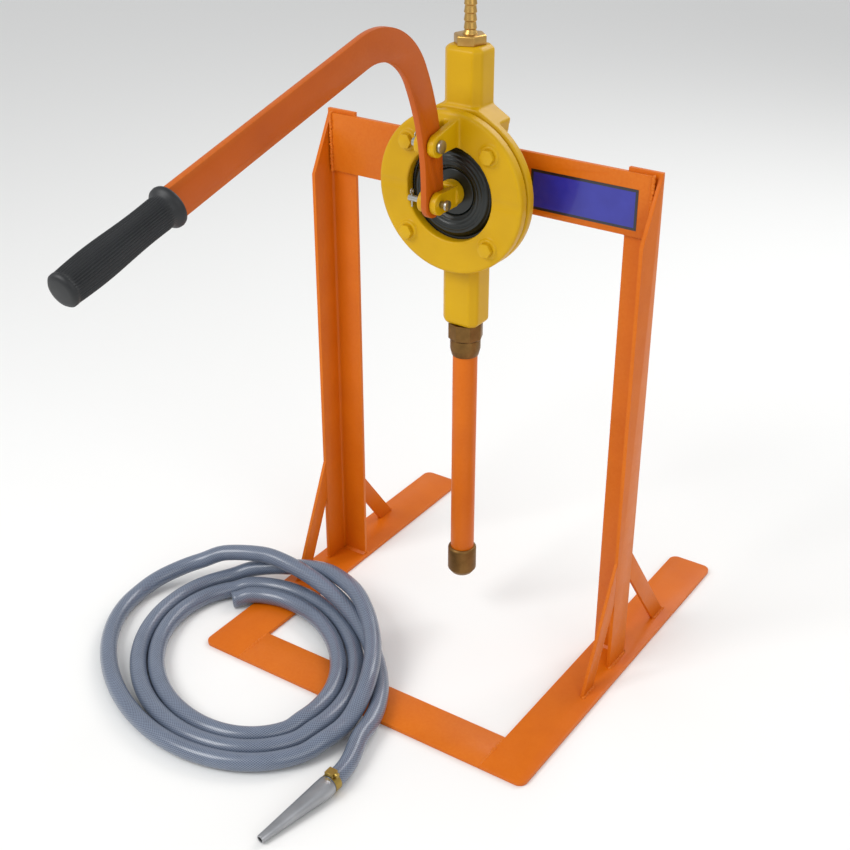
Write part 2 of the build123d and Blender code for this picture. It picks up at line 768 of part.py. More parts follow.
# Clevis: a round hub on the stud and two cheeks round the lever's lower end.
hub_front = plate_y - plate_thick - hub_length
cheek_outer = lever_thick / 2 + side_gap + cheek_thick
with BuildPart() as clevis:
    with BuildSketch(side_plane(-cheek_outer)):
        with Locations((clevis_y, pump_z)):
            Circle(cheek_radius)
        cheek_back = hub_front + hub_length / 3
        with Locations(((clevis_y + cheek_back) / 2, pump_z)):
            Rectangle(cheek_back - clevis_y, 2 * cheek_root)
    extrude(amount=2 * cheek_outer)
    with BuildSketch(front_plane(hub_front)):
        with Locations((0, pump_z)):
            Circle(hub_radius)
    extrude(amount=-hub_length)
    with BuildSketch(side_plane(-lever_thick / 2 - side_gap)):
        slot_front = clevis_y - slot_room
        slot_back = hub_front - cut_margin
        with Locations(((slot_front + slot_back) / 2, pump_z)):
            Rectangle(slot_back - slot_front, 2 * slot_room)
    extrude(amount=lever_thick + 2 * side_gap, mode=Mode.SUBTRACT)
    with Locations(Location((0, clevis_y, pump_z), (0, 90, 0))):
        Cylinder(clevis_pin_radius, 4 * cheek_outer, mode=Mode.SUBTRACT)
    with Locations(Location((0, plate_y - plate_thick, pump_z), (-90, 0, 0))):
        Hole(stud_radius, depth=stud_nose)
write(clevis.part, "clevis")


def cross_pin(label, y, z, radius, x_left, x_right, head_radius, head_thick):
    """A pin along X with a head at its right end."""
    with BuildPart() as pin:
        with BuildSketch(side_plane(x_left)):
            with Locations((y, z)):
                Circle(radius)
        extrude(amount=x_right - x_left)
        with BuildSketch(side_plane(x_right)):
            with Locations((y, z)):
                Circle(head_radius)
        extrude(amount=head_thick)
        with Locations((x_left + split_inset, y, z)):
            Cylinder(split_hole, 4 * radius, mode=Mode.SUBTRACT)
    write(pin.part, label)


def split_pin(label, x, y, z, radius):
    """A split pin through a cross pin: an eye above and two legs below."""
    with BuildPart() as pin:
        with BuildSketch(Plane.XY.offset(z - radius - split_leg)):
            with Locations((x, y)):
                Circle(split_radius)
        extrude(amount=2 * radius + split_leg + split_eye)
        with Locations(Location((x, y, z + radius + 2 * split_eye - split_wire / 2), (0, 90, 0))):
            Torus(split_eye, split_wire)
    write(pin.part, label)


pin_reach = ear_outer + pin_extra
fulcrum_left = -pin_reach - fulcrum_tail
clevis_left = -cheek_outer - clevis_tail
cross_pin("fulcrum_pin", pivot_y, pivot_z, pin_radius, fulcrum_left, pin_reach, *fulcrum_head)
split_pin("fulcrum_split_pin", fulcrum_left + split_inset, pivot_y, pivot_z, pin_radius)
cross_pin("clevis_pin", clevis_y, pump_z, clevis_pin_radius,
          clevis_left, cheek_outer + clevis_reach_right, *clevis_head)
split_pin("clevis_split_pin", clevis_left + split_inset, clevis_y, pump_z, clevis_pin_radius)

# The lever's centre line climbs from the clevis pin past the fulcrum, bends
# forward over the gooseneck and runs down to the grip.
shank_reach = shank_radius * (1 - cos(radians(shank_angle)))
shank_end = (clevis_y - shank_reach, pump_z + shank_start + shank_radius * sin(radians(shank_angle)))
gooseneck_end = 90 + shank_angle + gooseneck_angle
run_direction = Vector(0, cos(radians(gooseneck_end)), sin(radians(gooseneck_end)))
run_start = Vector(
    0,
    shank_end[0] - gooseneck_radius * (cos(radians(shank_angle)) - cos(radians(gooseneck_end - 90))),
    shank_end[1] + gooseneck_radius * (sin(radians(gooseneck_end - 90)) - sin(radians(shank_angle))),
)
run_end = run_start + run_direction * run_length

with BuildPart() as lever:
    with BuildSketch(side_plane(-lever_thick / 2)):
        with BuildLine() as lever_line:
            foot_line = Line((clevis_y, pump_z), (clevis_y, pump_z + shank_start))
            shank_line = JernArc(foot_line @ 1, foot_line % 1, shank_radius, shank_angle)
            neck_line = JernArc(shank_line @ 1, shank_line % 1, gooseneck_radius, gooseneck_angle)
            Line(neck_line @ 1, (neck_line @ 1) + (neck_line % 1) * run_length)
        trace(lever_line.line, line_width=lever_width)
        with Locations((clevis_y, pump_z)):
            Circle(lever_width / 2)
    extrude(amount=lever_thick)
    with BuildSketch(Plane(origin=run_end - run_direction * tang_overlap, z_dir=run_direction)):
        Circle(tang_radius)
    extrude(amount=grip_length - grip_wall_end)
    with Locations(Location((0, pivot_y, pivot_z), (0, 90, 0))):
        Cylinder(pin_radius + running_gap, 4 * lever_thick, mode=Mode.SUBTRACT)
    slot_radius = clevis_pin_radius + slot_gap
    with BuildSketch(side_plane(-lever_thick)):
        with Locations(Location((clevis_y, pump_z, 0), (0, 0, 90))):
            SlotCenterToCenter(travel_slot, 2 * slot_radius)
    extrude(amount=2 * lever_thick, mode=Mode.SUBTRACT)
write(lever.part, "lever")

grip_end = run_end + run_direction * (grip_length - grip_wall_end)
with BuildPart() as lever_grip:
    with BuildSketch(Plane(origin=run_end, z_dir=run_direction)):
        Circle(grip_flange_radius)
        Circle(tang_radius, mode=Mode.SUBTRACT)
    extrude(amount=grip_flange)
    with BuildSketch(Plane(origin=run_end + run_direction * grip_flange, z_dir=run_direction)):
        Circle(grip_radius)
        Circle(tang_radius, mode=Mode.SUBTRACT)
    extrude(amount=grip_length - grip_flange - grip_wall_end)
    with BuildSketch(Plane(origin=grip_end, z_dir=run_direction)):
        Circle(grip_radius)
    extrude(amount=grip_wall_end)
    grip_rims = lever_grip.edges().filter_by(GeomType.CIRCLE).filter_by(
        lambda e: e.radius > tang_radius + 1).sort_by(Axis.Y)
    fillet(grip_rims[0], grip_round)
write(lever_grip.part, "lever_grip")

# ================================================================ name plate
with BuildPart() as name_plate:
    with BuildSketch(front_plane(rail_front)):
        with Locations((plate_left + plate_width / 2, rail_bottom + rail_depth / 2 - plate_drop)):
            Rectangle(plate_width, plate_height)
    extrude(amount=plate_sheet)
write(name_plate.part, "name_plate")

# ====================================================================== hose
# The coiled part is one closed ring of the coil's outer shape. It lies over
# the left foot and the crossbar, and leans on the left front strap.
coil_base = floor_gap
with BuildPart() as hose_coil:
    with BuildSketch(Plane.XY.offset(coil_base)):
        with Locations(Location((*coil_center, 0), (0, 0, coil_turn))):
            Ellipse(coil_long, coil_short)
        with Locations(Location((*coil_hole_center, 0), (0, 0, coil_turn))):
            Ellipse(coil_hole_long, coil_hole_short, mode=Mode.SUBTRACT)
    extrude(amount=coil_height)
    flat_top = base_thick + floor_gap
    with BuildSketch():
        Rectangle(stand_width + 2 * floor_gap, base_flat + 2 * floor_gap)
        with Locations((-foot_outer + base_flat / 2, foot_length / 2)):
            Rectangle(base_flat + 2 * floor_gap, foot_length)
    extrude(amount=flat_top, mode=Mode.SUBTRACT)
    with BuildSketch(side_plane(-upright_outer - hose_gap)):
        with BuildLine():
            Polyline(
                (upright_front - front_strap_reach - hose_gap, 0),
                (upright_front - front_strap_reach - hose_gap, base_thick + hose_gap),
                (upright_front - hose_gap, base_thick + front_strap_rise + hose_gap),
                (upright_back, base_thick + front_strap_rise),
                (upright_back, 0),
                close=True,
            )
        make_face()
    extrude(amount=strap_thick + 2 * hose_gap, mode=Mode.SUBTRACT)
write(hose_coil.part, "hose_coil")

# The free end runs out of the coil to the nozzle.
hose_z = nozzle_radius + floor_gap
tail_points = [
    (59.0, -99.0, hose_z),
    (65.0, -124.0, hose_z),
    (68.5, -150.0, hose_z),
    (67.5, -176.0, hose_z),
]


def route_radii(points):
    """The largest arc that each corner of a route has room for."""
    radii = []
    for before, corner, after in zip(points, points[1:], points[2:]):
        arrive = Vector(*corner) - Vector(*before)
        leave = Vector(*after) - Vector(*corner)
        half_turn = radians(arrive.get_angle(leave)) / 2
        radii.append(0.45 * min(arrive.length, leave.length) / tan(half_turn))
    return radii


tail_radii = route_radii(tail_points)
print("hose bend radii:", [round(radius) for radius in tail_radii])
with BuildPart() as hose_tail:
    with BuildLine() as tail_line:
        tail_route = FilletPolyline(*tail_points, radius=tail_radii)
    with BuildSketch(Plane(origin=tail_route @ 0, z_dir=tail_route % 0)):
        Circle(hose_radius)
    sweep(path=tail_route)
tail_length = tail_route.length
tube_volume = tail_length * pi * hose_radius ** 2
print("hose tail length:", round(tail_length, 1))
print("hose tail volume ratio:", round(hose_tail.part.volume / tube_volume, 4))
write(hose_tail.part, "hose_tail")

tail_end = Vector(*tail_points[-1])
nozzle_direction = Vector(*nozzle_heading).normalized()
tail_direction = (Vector(*tail_points[-1]) - Vector(*tail_points[-2])).normalized()

with BuildPart() as nozzle:
    with BuildSketch(Plane(origin=tail_end, z_dir=tail_direction)):
        Circle(nozzle_radius)
    extrude(amount=nozzle_collar)
    collar_end = tail_end + tail_direction * nozzle_collar
    cone_end = collar_end + nozzle_direction * nozzle_length
    with BuildSketch(Plane(origin=collar_end, z_dir=tail_direction), mode=Mode.PRIVATE) as cone_wide:
        Circle(nozzle_radius)
    with BuildSketch(Plane(origin=cone_end, z_dir=nozzle_direction), mode=Mode.PRIVATE) as cone_narrow:
        Circle(nozzle_tip)
    loft(sections=[cone_wide.sketch, cone_narrow.sketch])
    with BuildSketch(Plane(origin=tail_end, z_dir=tail_direction), mode=Mode.PRIVATE) as bore_wide:
        Circle(hose_bore)
    bore_end = Plane(origin=cone_end + nozzle_direction, z_dir=nozzle_direction)
    with BuildSketch(bore_end, mode=Mode.PRIVATE) as bore_narrow:
        Circle(nozzle_bore)
    loft(sections=[bore_wide.sketch, bore_narrow.sketch], mode=Mode.SUBTRACT)
write(nozzle.part, "nozzle")

# Worm-drive hose clamp over the hose end: band, housing and screw.
clamp_middle = tail_end - tail_direction * (clamp_width / 2 + clamp_inset_end)
across = (-tail_direction.Y, tail_direction.X, 0)
clamp_plane = Plane(origin=clamp_middle, x_dir=across, z_dir=tail_direction)
housing_middle = clamp_middle + Vector(0, 0, hose_radius + clamp_band + housing_lift)
with BuildPart() as clamp_strap:
    with BuildSketch(clamp_plane.offset(-clamp_width / 2)):
        Circle(hose_radius + clamp_band)
        Circle(hose_radius, mode=Mode.SUBTRACT)
    extrude(amount=clamp_width)
    with Locations(housing_middle):
        Box(housing_size[0], clamp_width + housing_size[1], housing_size[2])
    with BuildSketch(clamp_plane.offset(-2 * clamp_width)):
        Circle(hose_radius)
    extrude(amount=4 * clamp_width, mode=Mode.SUBTRACT)
write(clamp_strap.part, "hose_clamp")
with BuildPart() as clamp_screw:
    with Locations(Location(housing_middle + Vector(housing_size[0] / 2, 0, 0), (0, 90, 0))):
        Cylinder(screw_radius, screw_length, align=(Align.CENTER, Align.CENTER, Align.MIN))
write(clamp_screw.part, "clamp_screw")
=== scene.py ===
"""Looks of a hand-lever diaphragm pump on a floor stand, built round its CAD frame.

Every size is in metres unless its name says millimetres. The origin is on the
floor under the middle of the front crossbar, with +Y to the back and +Z up.
"""

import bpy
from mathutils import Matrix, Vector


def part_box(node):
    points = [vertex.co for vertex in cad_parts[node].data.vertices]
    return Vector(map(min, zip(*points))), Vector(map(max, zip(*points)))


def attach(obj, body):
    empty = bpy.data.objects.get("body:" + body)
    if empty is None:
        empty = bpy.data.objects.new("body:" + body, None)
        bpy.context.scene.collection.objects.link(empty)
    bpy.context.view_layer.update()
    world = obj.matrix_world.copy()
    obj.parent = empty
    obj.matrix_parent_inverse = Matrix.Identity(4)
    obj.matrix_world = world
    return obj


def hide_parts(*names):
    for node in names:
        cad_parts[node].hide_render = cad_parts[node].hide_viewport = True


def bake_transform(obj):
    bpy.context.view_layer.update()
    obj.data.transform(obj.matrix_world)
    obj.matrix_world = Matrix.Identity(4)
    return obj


bl_info = {
    "name": "Hand-lever diaphragm pump",
    "version": (1, 0, 0),
    "blender": (4, 5, 0),
    "location": "View3D > Sidebar > Pump",
    "description": "Builds a lever-worked diaphragm pump with its stand and hose",
    "category": "Object",
}

from math import cos, pi, radians, sin, sqrt

import bmesh
import bpy
from bpy.props import FloatProperty, FloatVectorProperty, IntProperty, PointerProperty, StringProperty
from mathutils import Matrix, Vector

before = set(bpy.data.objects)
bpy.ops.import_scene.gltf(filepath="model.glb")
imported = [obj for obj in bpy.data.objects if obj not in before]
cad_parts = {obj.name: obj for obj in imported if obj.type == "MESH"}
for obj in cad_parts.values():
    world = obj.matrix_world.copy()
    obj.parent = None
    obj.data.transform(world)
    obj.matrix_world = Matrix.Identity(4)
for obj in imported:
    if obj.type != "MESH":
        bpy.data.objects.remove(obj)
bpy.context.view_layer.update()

MM = 0.001

# ------------------------------------------------------------ shared helpers


def linear(hex_colour, alpha=1.0):
    """An sRGB hex colour as the linear colour that a shader takes."""
    channels = []
    for i in (0, 2, 4):
        value = int(hex_colour[i:i + 2], 16) / 255
        channels.append(value / 12.92 if value <= 0.04045 else ((value + 0.055) / 1.055) ** 2.4)
    return (*channels, alpha)


def add_node(tree, kind, settings=None, inputs=None):
    """Add one node; inputs may be values or the output sockets that feed them."""
    node = tree.nodes.new(kind)
    for name, value in (settings or {}).items():
        setattr(node, name, value)
    for name, value in (inputs or {}).items():
        socket = node.inputs[name]
        if isinstance(value, bpy.types.NodeSocket):
            tree.links.new(value, socket)
        else:
            socket.default_value = value
    return node


def link_object(name, mesh):
    """A new object at the origin, in the scene."""
    piece = bpy.data.objects.new(name, mesh)
    bpy.context.scene.collection.objects.link(piece)
    return piece


def set_material(piece, material):
    """Give a piece one material all over."""
    piece.data.materials.clear()
    piece.data.materials.append(material)


def dress(node, material):
    """Give a CAD node's own object a material."""
    set_material(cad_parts[node], material)


def mesh_from(bm, name):
    """Finish a bmesh as a mesh with its faces pointing outwards."""
    bmesh.ops.recalc_face_normals(bm, faces=bm.faces)
    mesh = bpy.data.meshes.new(name)
    bm.to_mesh(mesh)
    bm.free()
    return mesh


def shade_smooth(mesh, angle=35):
    """Smooth shading that keeps edges sharper than an angle in degrees."""
    for polygon in mesh.polygons:
        polygon.use_smooth = True
    bm = bmesh.new()
    bm.from_mesh(mesh)
    for edge in bm.edges:
        if len(edge.link_faces) == 2:
            edge.smooth = edge.calc_face_angle(pi) < radians(angle)
    bm.to_mesh(mesh)
    bm.free()


def welded_copy(node, name, flat_angle=0.5):
    """A clean copy of a CAD node's mesh: vertices merged and flat faces joined."""
    bm = bmesh.new()
    bm.from_mesh(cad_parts[node].data)
    bmesh.ops.remove_doubles(bm, verts=bm.verts, dist=2e-6)
    bmesh.ops.dissolve_limit(
        bm, angle_limit=radians(flat_angle), use_dissolve_boundaries=False,
        verts=bm.verts, edges=bm.edges, delimit={"NORMAL"},
    )
    mesh = bpy.data.meshes.new(name)
    bm.to_mesh(mesh)
    bm.free()
    return mesh


def apply_modifiers(piece):
    """Turn a piece's modifiers into plain mesh and take them off."""
    depsgraph = bpy.context.evaluated_depsgraph_get()
    depsgraph.update()
    mesh = bpy.data.meshes.new_from_object(piece.evaluated_get(depsgraph), depsgraph=depsgraph)
    piece.modifiers.clear()
    piece.data = mesh


def eased_piece(node, body, material, width=0.0007, segments=2):
    """Replace a CAD node by a copy whose edges are rounded by a small width."""
    piece = link_object(f"{node}_eased", welded_copy(node, f"{node}_eased"))
    bevel = piece.modifiers.new("Rounded edges", "BEVEL")
    bevel.width = width
    bevel.segments = segments
    bevel.limit_method = "ANGLE"
    bevel.angle_limit = radians(32)
    bevel.use_clamp_overlap = True
    apply_modifiers(piece)
    shade_smooth(piece.data, 40)
    set_material(piece, material)
    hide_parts(node)
    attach(piece, body)
    return piece


def cast_piece(node, body, material, voxel, rounds):
    """Replace a CAD node by a cast skin: voxels first, then smoothing for the fillets."""
    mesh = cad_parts[node].data.copy()
    mesh.name = f"{node}_cast"
    piece = link_object(f"{node}_cast", mesh)
    remesh = piece.modifiers.new("Skin", "REMESH")
    remesh.mode = "VOXEL"
    remesh.voxel_size = voxel
    smooth = piece.modifiers.new("Cast fillets", "SMOOTH")
    smooth.iterations = rounds
    smooth.factor = 0.5
    apply_modifiers(piece)
    for polygon in piece.data.polygons:
        polygon.use_smooth = True
    set_material(piece, material)
    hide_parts(node)
    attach(piece, body)
    return piece


def axis_matrix(origin, direction):
    """A matrix that takes local Z to a direction and the local origin to a point."""
    z = Vector(direction).normalized()
    x = Vector((1, 0, 0)) if abs(z.x) < 0.9 else Vector((0, 1, 0))
    x = (x - z * x.dot(z)).normalized()
    y = z.cross(x)
    matrix = Matrix((x, y, z)).transposed().to_4x4()
    matrix.translation = Vector(origin)
    return matrix


def centre(node):
    """The middle of a CAD node's box."""
    low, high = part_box(node)
    return (low + high) / 2


# ---------------------------------------------------------------- materials


def new_material(name):
    """An empty material with its output, and its Principled shader."""
    material = bpy.data.materials.new(name)
    material.use_nodes = True
    tree = material.node_tree
    tree.nodes.clear()
    output = add_node(tree, "ShaderNodeOutputMaterial")
    shader = add_node(tree, "ShaderNodeBsdfPrincipled")
    tree.links.new(shader.outputs["BSDF"], output.inputs["Surface"])
    return material, tree, shader


def noise(tree, coordinates, grain_mm, detail=3.0, roughness=0.5):
    """Noise whose grain is a real size in millimetres."""
    return add_node(tree, "ShaderNodeTexNoise", inputs={
        "Vector": coordinates, "Scale": 1000 / grain_mm, "Detail": detail, "Roughness": roughness,
    })


def enamel(name, colour, deep_colour, edge_highlight_colour, roughness, peel_mm=3.0, edge_highlight_strength=0.35):
    """Sprayed enamel on steel or a casting: a glossy coat with a faint orange peel, a slow random drift of
    tone, and a painted highlight: convex edges in a lighter colour, broken up by noise."""
    material, tree, shader = new_material(name)
    place = add_node(tree, "ShaderNodeTexCoord").outputs["Object"]
    drift = noise(tree, place, 60, 4)
    tone = add_node(tree, "ShaderNodeMix", {"data_type": "RGBA"}, {
        "Factor": drift.outputs["Fac"], "A": linear(deep_colour), "B": linear(colour),
    })
    # Painted highlight: convex edges, found by pointiness and broken up by noise, get the lighter edge
    # colour.
    edge = add_node(tree, "ShaderNodeNewGeometry").outputs["Pointiness"]
    edge_highlight_ramp = add_node(tree, "ShaderNodeMapRange", inputs={
        "Value": edge, "From Min": 0.515, "From Max": 0.60, "To Min": 0.0, "To Max": edge_highlight_strength,
    })
    highlight_breakup = noise(tree, place, 4, 5)
    edge_highlight_mask = add_node(tree, "ShaderNodeMath", {"operation": "MULTIPLY"})
    tree.links.new(edge_highlight_ramp.outputs["Result"], edge_highlight_mask.inputs[0])
    tree.links.new(highlight_breakup.outputs["Fac"], edge_highlight_mask.inputs[1])
    highlit_tone = add_node(tree, "ShaderNodeMix", {"data_type": "RGBA"}, {
        "Factor": edge_highlight_mask.outputs["Value"], "B": linear(edge_highlight_colour),
    })
    tree.links.new(tone.outputs["Result"], highlit_tone.inputs["A"])
    tree.links.new(highlit_tone.outputs["Result"], shader.inputs["Base Color"])
    gloss = noise(tree, place, 18, 3)
    spread = add_node(tree, "ShaderNodeMapRange", inputs={
        "Value": gloss.outputs["Fac"], "To Min": roughness - 0.08, "To Max": roughness + 0.10,
    })
    tree.links.new(spread.outputs["Result"], shader.inputs["Roughness"])
    peel = noise(tree, place, peel_mm, 2)
    bump = add_node(tree, "ShaderNodeBump", inputs={
        "Height": peel.outputs["Fac"], "Strength": 0.12, "Distance": 0.0006,
    })
    tree.links.new(bump.outputs["Normal"], shader.inputs["Normal"])
    shader.inputs["Specular IOR Level"].default_value = 0.22
    shader.inputs["Coat Weight"].default_value = 0.05
    shader.inputs["Coat Roughness"].default_value = 0.12
    return material


def machined_metal(name, colour, dark_colour, roughness, grain_mm=1.5, tarnish_mm=25):
    """Turned or plated metal: full metallic, a fine tool grain and patches of tarnish."""
    material, tree, shader = new_material(name)
    place = add_node(tree, "ShaderNodeTexCoord").outputs["Object"]
    patches = noise(tree, place, tarnish_mm, 5, 0.6)
    tone = add_node(tree, "ShaderNodeMix", {"data_type": "RGBA"}, {
        "Factor": patches.outputs["Fac"], "A": linear(dark_colour), "B": linear(colour),
    })
    tree.links.new(tone.outputs["Result"], shader.inputs["Base Color"])
    shader.inputs["Metallic"].default_value = 1.0
    grain = noise(tree, place, grain_mm, 3)
    spread = add_node(tree, "ShaderNodeMapRange", inputs={
        "Value": grain.outputs["Fac"], "To Min": roughness - 0.1, "To Max": roughness + 0.14,
    })
    tree.links.new(spread.outputs["Result"], shader.inputs["Roughness"])
    bump = add_node(tree, "ShaderNodeBump", inputs={
        "Height": grain.outputs["Fac"], "Strength": 0.15, "Distance": 0.0003,
    })
    tree.links.new(bump.outputs["Normal"], shader.inputs["Normal"])
    return material


def moulded_rubber(name, colour, bloom_colour, roughness):
    """Black moulded rubber: a dull skin with a faint grey bloom."""
    material, tree, shader = new_material(name)
    place = add_node(tree, "ShaderNodeTexCoord").outputs["Object"]
    bloom = noise(tree, place, 22, 5, 0.65)
    tone = add_node(tree, "ShaderNodeMix", {"data_type": "RGBA"}, {
        "Factor": bloom.outputs["Fac"], "A": linear(colour), "B": linear(bloom_colour),
    })
    tree.links.new(tone.outputs["Result"], shader.inputs["Base Color"])
    shader.inputs["Roughness"].default_value = roughness
    skin = noise(tree, place, 0.9, 2)
    bump = add_node(tree, "ShaderNodeBump", inputs={
        "Height": skin.outputs["Fac"], "Strength": 0.18, "Distance": 0.0003,
    })
    tree.links.new(bump.outputs["Normal"], shader.inputs["Normal"])
    return material


def braided_pvc(name, colour, thread_colour, deep_colour, cell_mm, diameter):
    """Clear PVC hose with a braid of white yarn under a glossy wall. The braid's
    cell is drawn at its real width, and its two yarns cross at a slant."""
    material, tree, shader = new_material(name)
    along = add_node(tree, "ShaderNodeUVMap", {"uv_map": "HoseWrap"})
    split = add_node(tree, "ShaderNodeSeparateXYZ", inputs={"Vector": along.outputs["UV"]})
    cells_round = max(4, round(pi * diameter / (cell_mm * MM)))
    cells_along = cells_round / (pi * diameter) * 0.8
    yarns = []
    for hand in (1, -1):
        turn = add_node(tree, "ShaderNodeMath", {"operation": "MULTIPLY"}, {1: float(cells_round * hand)})
        tree.links.new(split.outputs["X"], turn.inputs[0])
        advance = add_node(tree, "ShaderNodeMath", {"operation": "MULTIPLY_ADD"}, {1: cells_along})
        tree.links.new(split.outputs["Y"], advance.inputs[0])
        tree.links.new(turn.outputs["Value"], advance.inputs[2])
        wave = add_node(tree, "ShaderNodeMath", {"operation": "PINGPONG"}, {1: 0.5})
        tree.links.new(advance.outputs["Value"], wave.inputs[0])
        yarn = add_node(tree, "ShaderNodeMapRange", {"interpolation_type": "SMOOTHSTEP"}, {
            "Value": wave.outputs["Value"], "From Min": 0.13, "From Max": 0.05,
        })
        yarns.append(yarn.outputs["Result"])
    braid = add_node(tree, "ShaderNodeMath", {"operation": "MAXIMUM"})
    tree.links.new(yarns[0], braid.inputs[0])
    tree.links.new(yarns[1], braid.inputs[1])
    place = add_node(tree, "ShaderNodeTexCoord").outputs["Object"]
    cloud = noise(tree, place, 35, 3)
    wall = add_node(tree, "ShaderNodeMix", {"data_type": "RGBA"}, {
        "Factor": cloud.outputs["Fac"], "A": linear(deep_colour), "B": linear(colour),
    })
    strength = add_node(tree, "ShaderNodeMath", {"operation": "MULTIPLY"}, {1: 0.55})
    tree.links.new(braid.outputs["Value"], strength.inputs[0])
    tone = add_node(tree, "ShaderNodeMix", {"data_type": "RGBA"}, {
        "Factor": strength.outputs["Value"], "B": linear(thread_colour),
    })
    tree.links.new(wall.outputs["Result"], tone.inputs["A"])
    tree.links.new(tone.outputs["Result"], shader.inputs["Base Color"])
    bump = add_node(tree, "ShaderNodeBump", inputs={
        "Height": braid.outputs["Value"], "Strength": 0.10, "Distance": 0.0004,
    })
    tree.links.new(bump.outputs["Normal"], shader.inputs["Normal"])
    shader.inputs["Roughness"].default_value = 0.32
    shader.inputs["IOR"].default_value = 1.53
    shader.inputs["Coat Weight"].default_value = 0.5
    shader.inputs["Coat Roughness"].default_value = 0.15
    return material


def printed_label(name, colour, border_colour, box_low, box_high, border):
    """A printed vinyl label: a flat field inside a dark border, with no lettering."""
    material, tree, shader = new_material(name)
    place = add_node(tree, "ShaderNodeTexCoord").outputs["Object"]
    split = add_node(tree, "ShaderNodeSeparateXYZ", inputs={"Vector": place})
    sides = []
    for axis, low, high in (("X", box_low.x, box_high.x), ("Z", box_low.z, box_high.z)):
        middle = (low + high) / 2
        reach = (high - low) / 2 - border
        distance = add_node(tree, "ShaderNodeMath", {"operation": "SUBTRACT"}, {1: middle})
        tree.links.new(split.outputs[axis], distance.inputs[0])
        size = add_node(tree, "ShaderNodeMath", {"operation": "ABSOLUTE"})
        tree.links.new(distance.outputs["Value"], size.inputs[0])
        outside = add_node(tree, "ShaderNodeMath", {"operation": "GREATER_THAN"}, {1: reach})
        tree.links.new(size.outputs["Value"], outside.inputs[0])
        sides.append(outside.outputs["Value"])
    edge = add_node(tree, "ShaderNodeMath", {"operation": "MAXIMUM"})
    tree.links.new(sides[0], edge.inputs[0])
    tree.links.new(sides[1], edge.inputs[1])
    fade = noise(tree, place, 30, 3)
    field = add_node(tree, "ShaderNodeMix", {"data_type": "RGBA"}, {
        "Factor": fade.outputs["Fac"], "A": linear(colour), "B": linear("2A2FA8"),
    })
    tone = add_node(tree, "ShaderNodeMix", {"data_type": "RGBA"}, {
        "Factor": edge.outputs["Value"], "B": linear(border_colour),
    })
    tree.links.new(field.outputs["Result"], tone.inputs["A"])
    tree.links.new(tone.outputs["Result"], shader.inputs["Base Color"])
    shader.inputs["Roughness"].default_value = 0.28
    shader.inputs["Coat Weight"].default_value = 0.4
    return material


def studio_floor(name, colour):
    """A plain pale studio floor."""
    material, _, shader = new_material(name)
    shader.inputs["Base Color"].default_value = linear(colour)
    shader.inputs["Roughness"].default_value = 0.8
    return material


FINISHES = {}


def finish(name):
    """A finish made once and shared by the pieces that have it."""
    if name not in FINISHES:
        FINISHES[name] = FINISH_MAKERS[name]()
    return FINISHES[name]


FINISH_MAKERS = {
    # The third colour of each enamel is the painted highlight on its convex edges.
    "orange_enamel": lambda: enamel("Orange enamel on steel", "D86C00", "C45A00", "F0973A", 0.42),
    "lever_enamel": lambda: enamel("Orange enamel on the lever", "C25800", "A84700", "F0A050", 0.38),
    "yellow_enamel": lambda: enamel("Yellow enamel on cast iron", "D6A800", "BD9000", "EFCB3C", 0.40, 4.0),
    "zinc": lambda: machined_metal("Zinc-plated steel", "C9C8C2", "8E8D86", 0.34),
    "brass": lambda: machined_metal("Turned brass", "D8B26A", "A67C38", 0.34, 1.2),
    "bronze": lambda: machined_metal("Cast bronze", "9A7442", "5E4526", 0.46, 2.0, 14),
    "yellow_zinc": lambda: machined_metal("Yellow zinc plating", "BFA45C", "8C7434", 0.36),
    "nozzle_metal": lambda: machined_metal("Turned aluminium", "B9BABD", "8A8C90", 0.36, 1.0, 30),
    "ball_steel": lambda: machined_metal("Polished ball steel", "D0D2D6", "A8AAAE", 0.22),
    "diaphragm_rubber": lambda: moulded_rubber("Moulded diaphragm rubber", "060A08", "101814", 0.30),
    "grip_rubber": lambda: moulded_rubber("Ribbed grip rubber", "0D0F11", "1B1E21", 0.5),
}

# ------------------------------------------------------------------- hose

HOSE_DIAMETER = 24 * MM
STEPS_PER_TURN = 48
STRAND_GAP = 0.8 * MM       # least room left between two strands
SPREAD_ROUNDS = 160
FIRST_ANGLE = 147.0         # where the free end lies, in degrees round the coil
LAST_ANGLE = 0.0            # where the last turn leaves for the nozzle
COIL_SKEW = 12.5            # degrees by which the turns lean
FLOOR_HEIGHT = 12.4         # centre line of a turn on the floor, in millimetres
FLAT_HEIGHT = 18.5          # centre line of a turn on the base flats
LEFT_REACH = (-312.0, -337.0, -361.0, -421.0)
REAR_REACH = (99.0, 123.0, 155.0, 130.0)
RIGHT_REACH = (-28.0, -4.0, 22.0, 50.0)
FRONT_REACH = (-178.0, -202.0, -226.0, -226.0)
# How far the third and fourth turns ride up on the others, by angle.
THIRD_LIFT = ((150, 0), (135, 3), (112, 14), (90, 32), (67, 40), (45, 28), (22, 20), (0, 0))
FOURTH_LIFT = ((180, 0), (157, 12), (135, 29), (112, 40), (90, 32), (67, 20), (45, 3), (22, 0))
# The free end's route to the nozzle, in millimetres.
TAIL_ROUTE = ((64.0, -122.0, 14.4), (68.5, -150.0, 13.8), (67.5, -176.0, 13.8))


def keyed(values, turns):
    """A value between two neighbours of a list, by a number of turns."""
    turns = min(max(turns, 0.0), len(values) - 1.0)
    i = min(int(turns), len(values) - 2)
    return values[i] + (values[i + 1] - values[i]) * (turns - i)


def lift_at(table, angle):
    """The lift between two keyed angles, and none outside them."""
    for (before, low), (after, high) in zip(table, table[1:]):
        if before >= angle >= after:
            return low + (high - low) * (before - angle) / (before - after)
    return 0.0


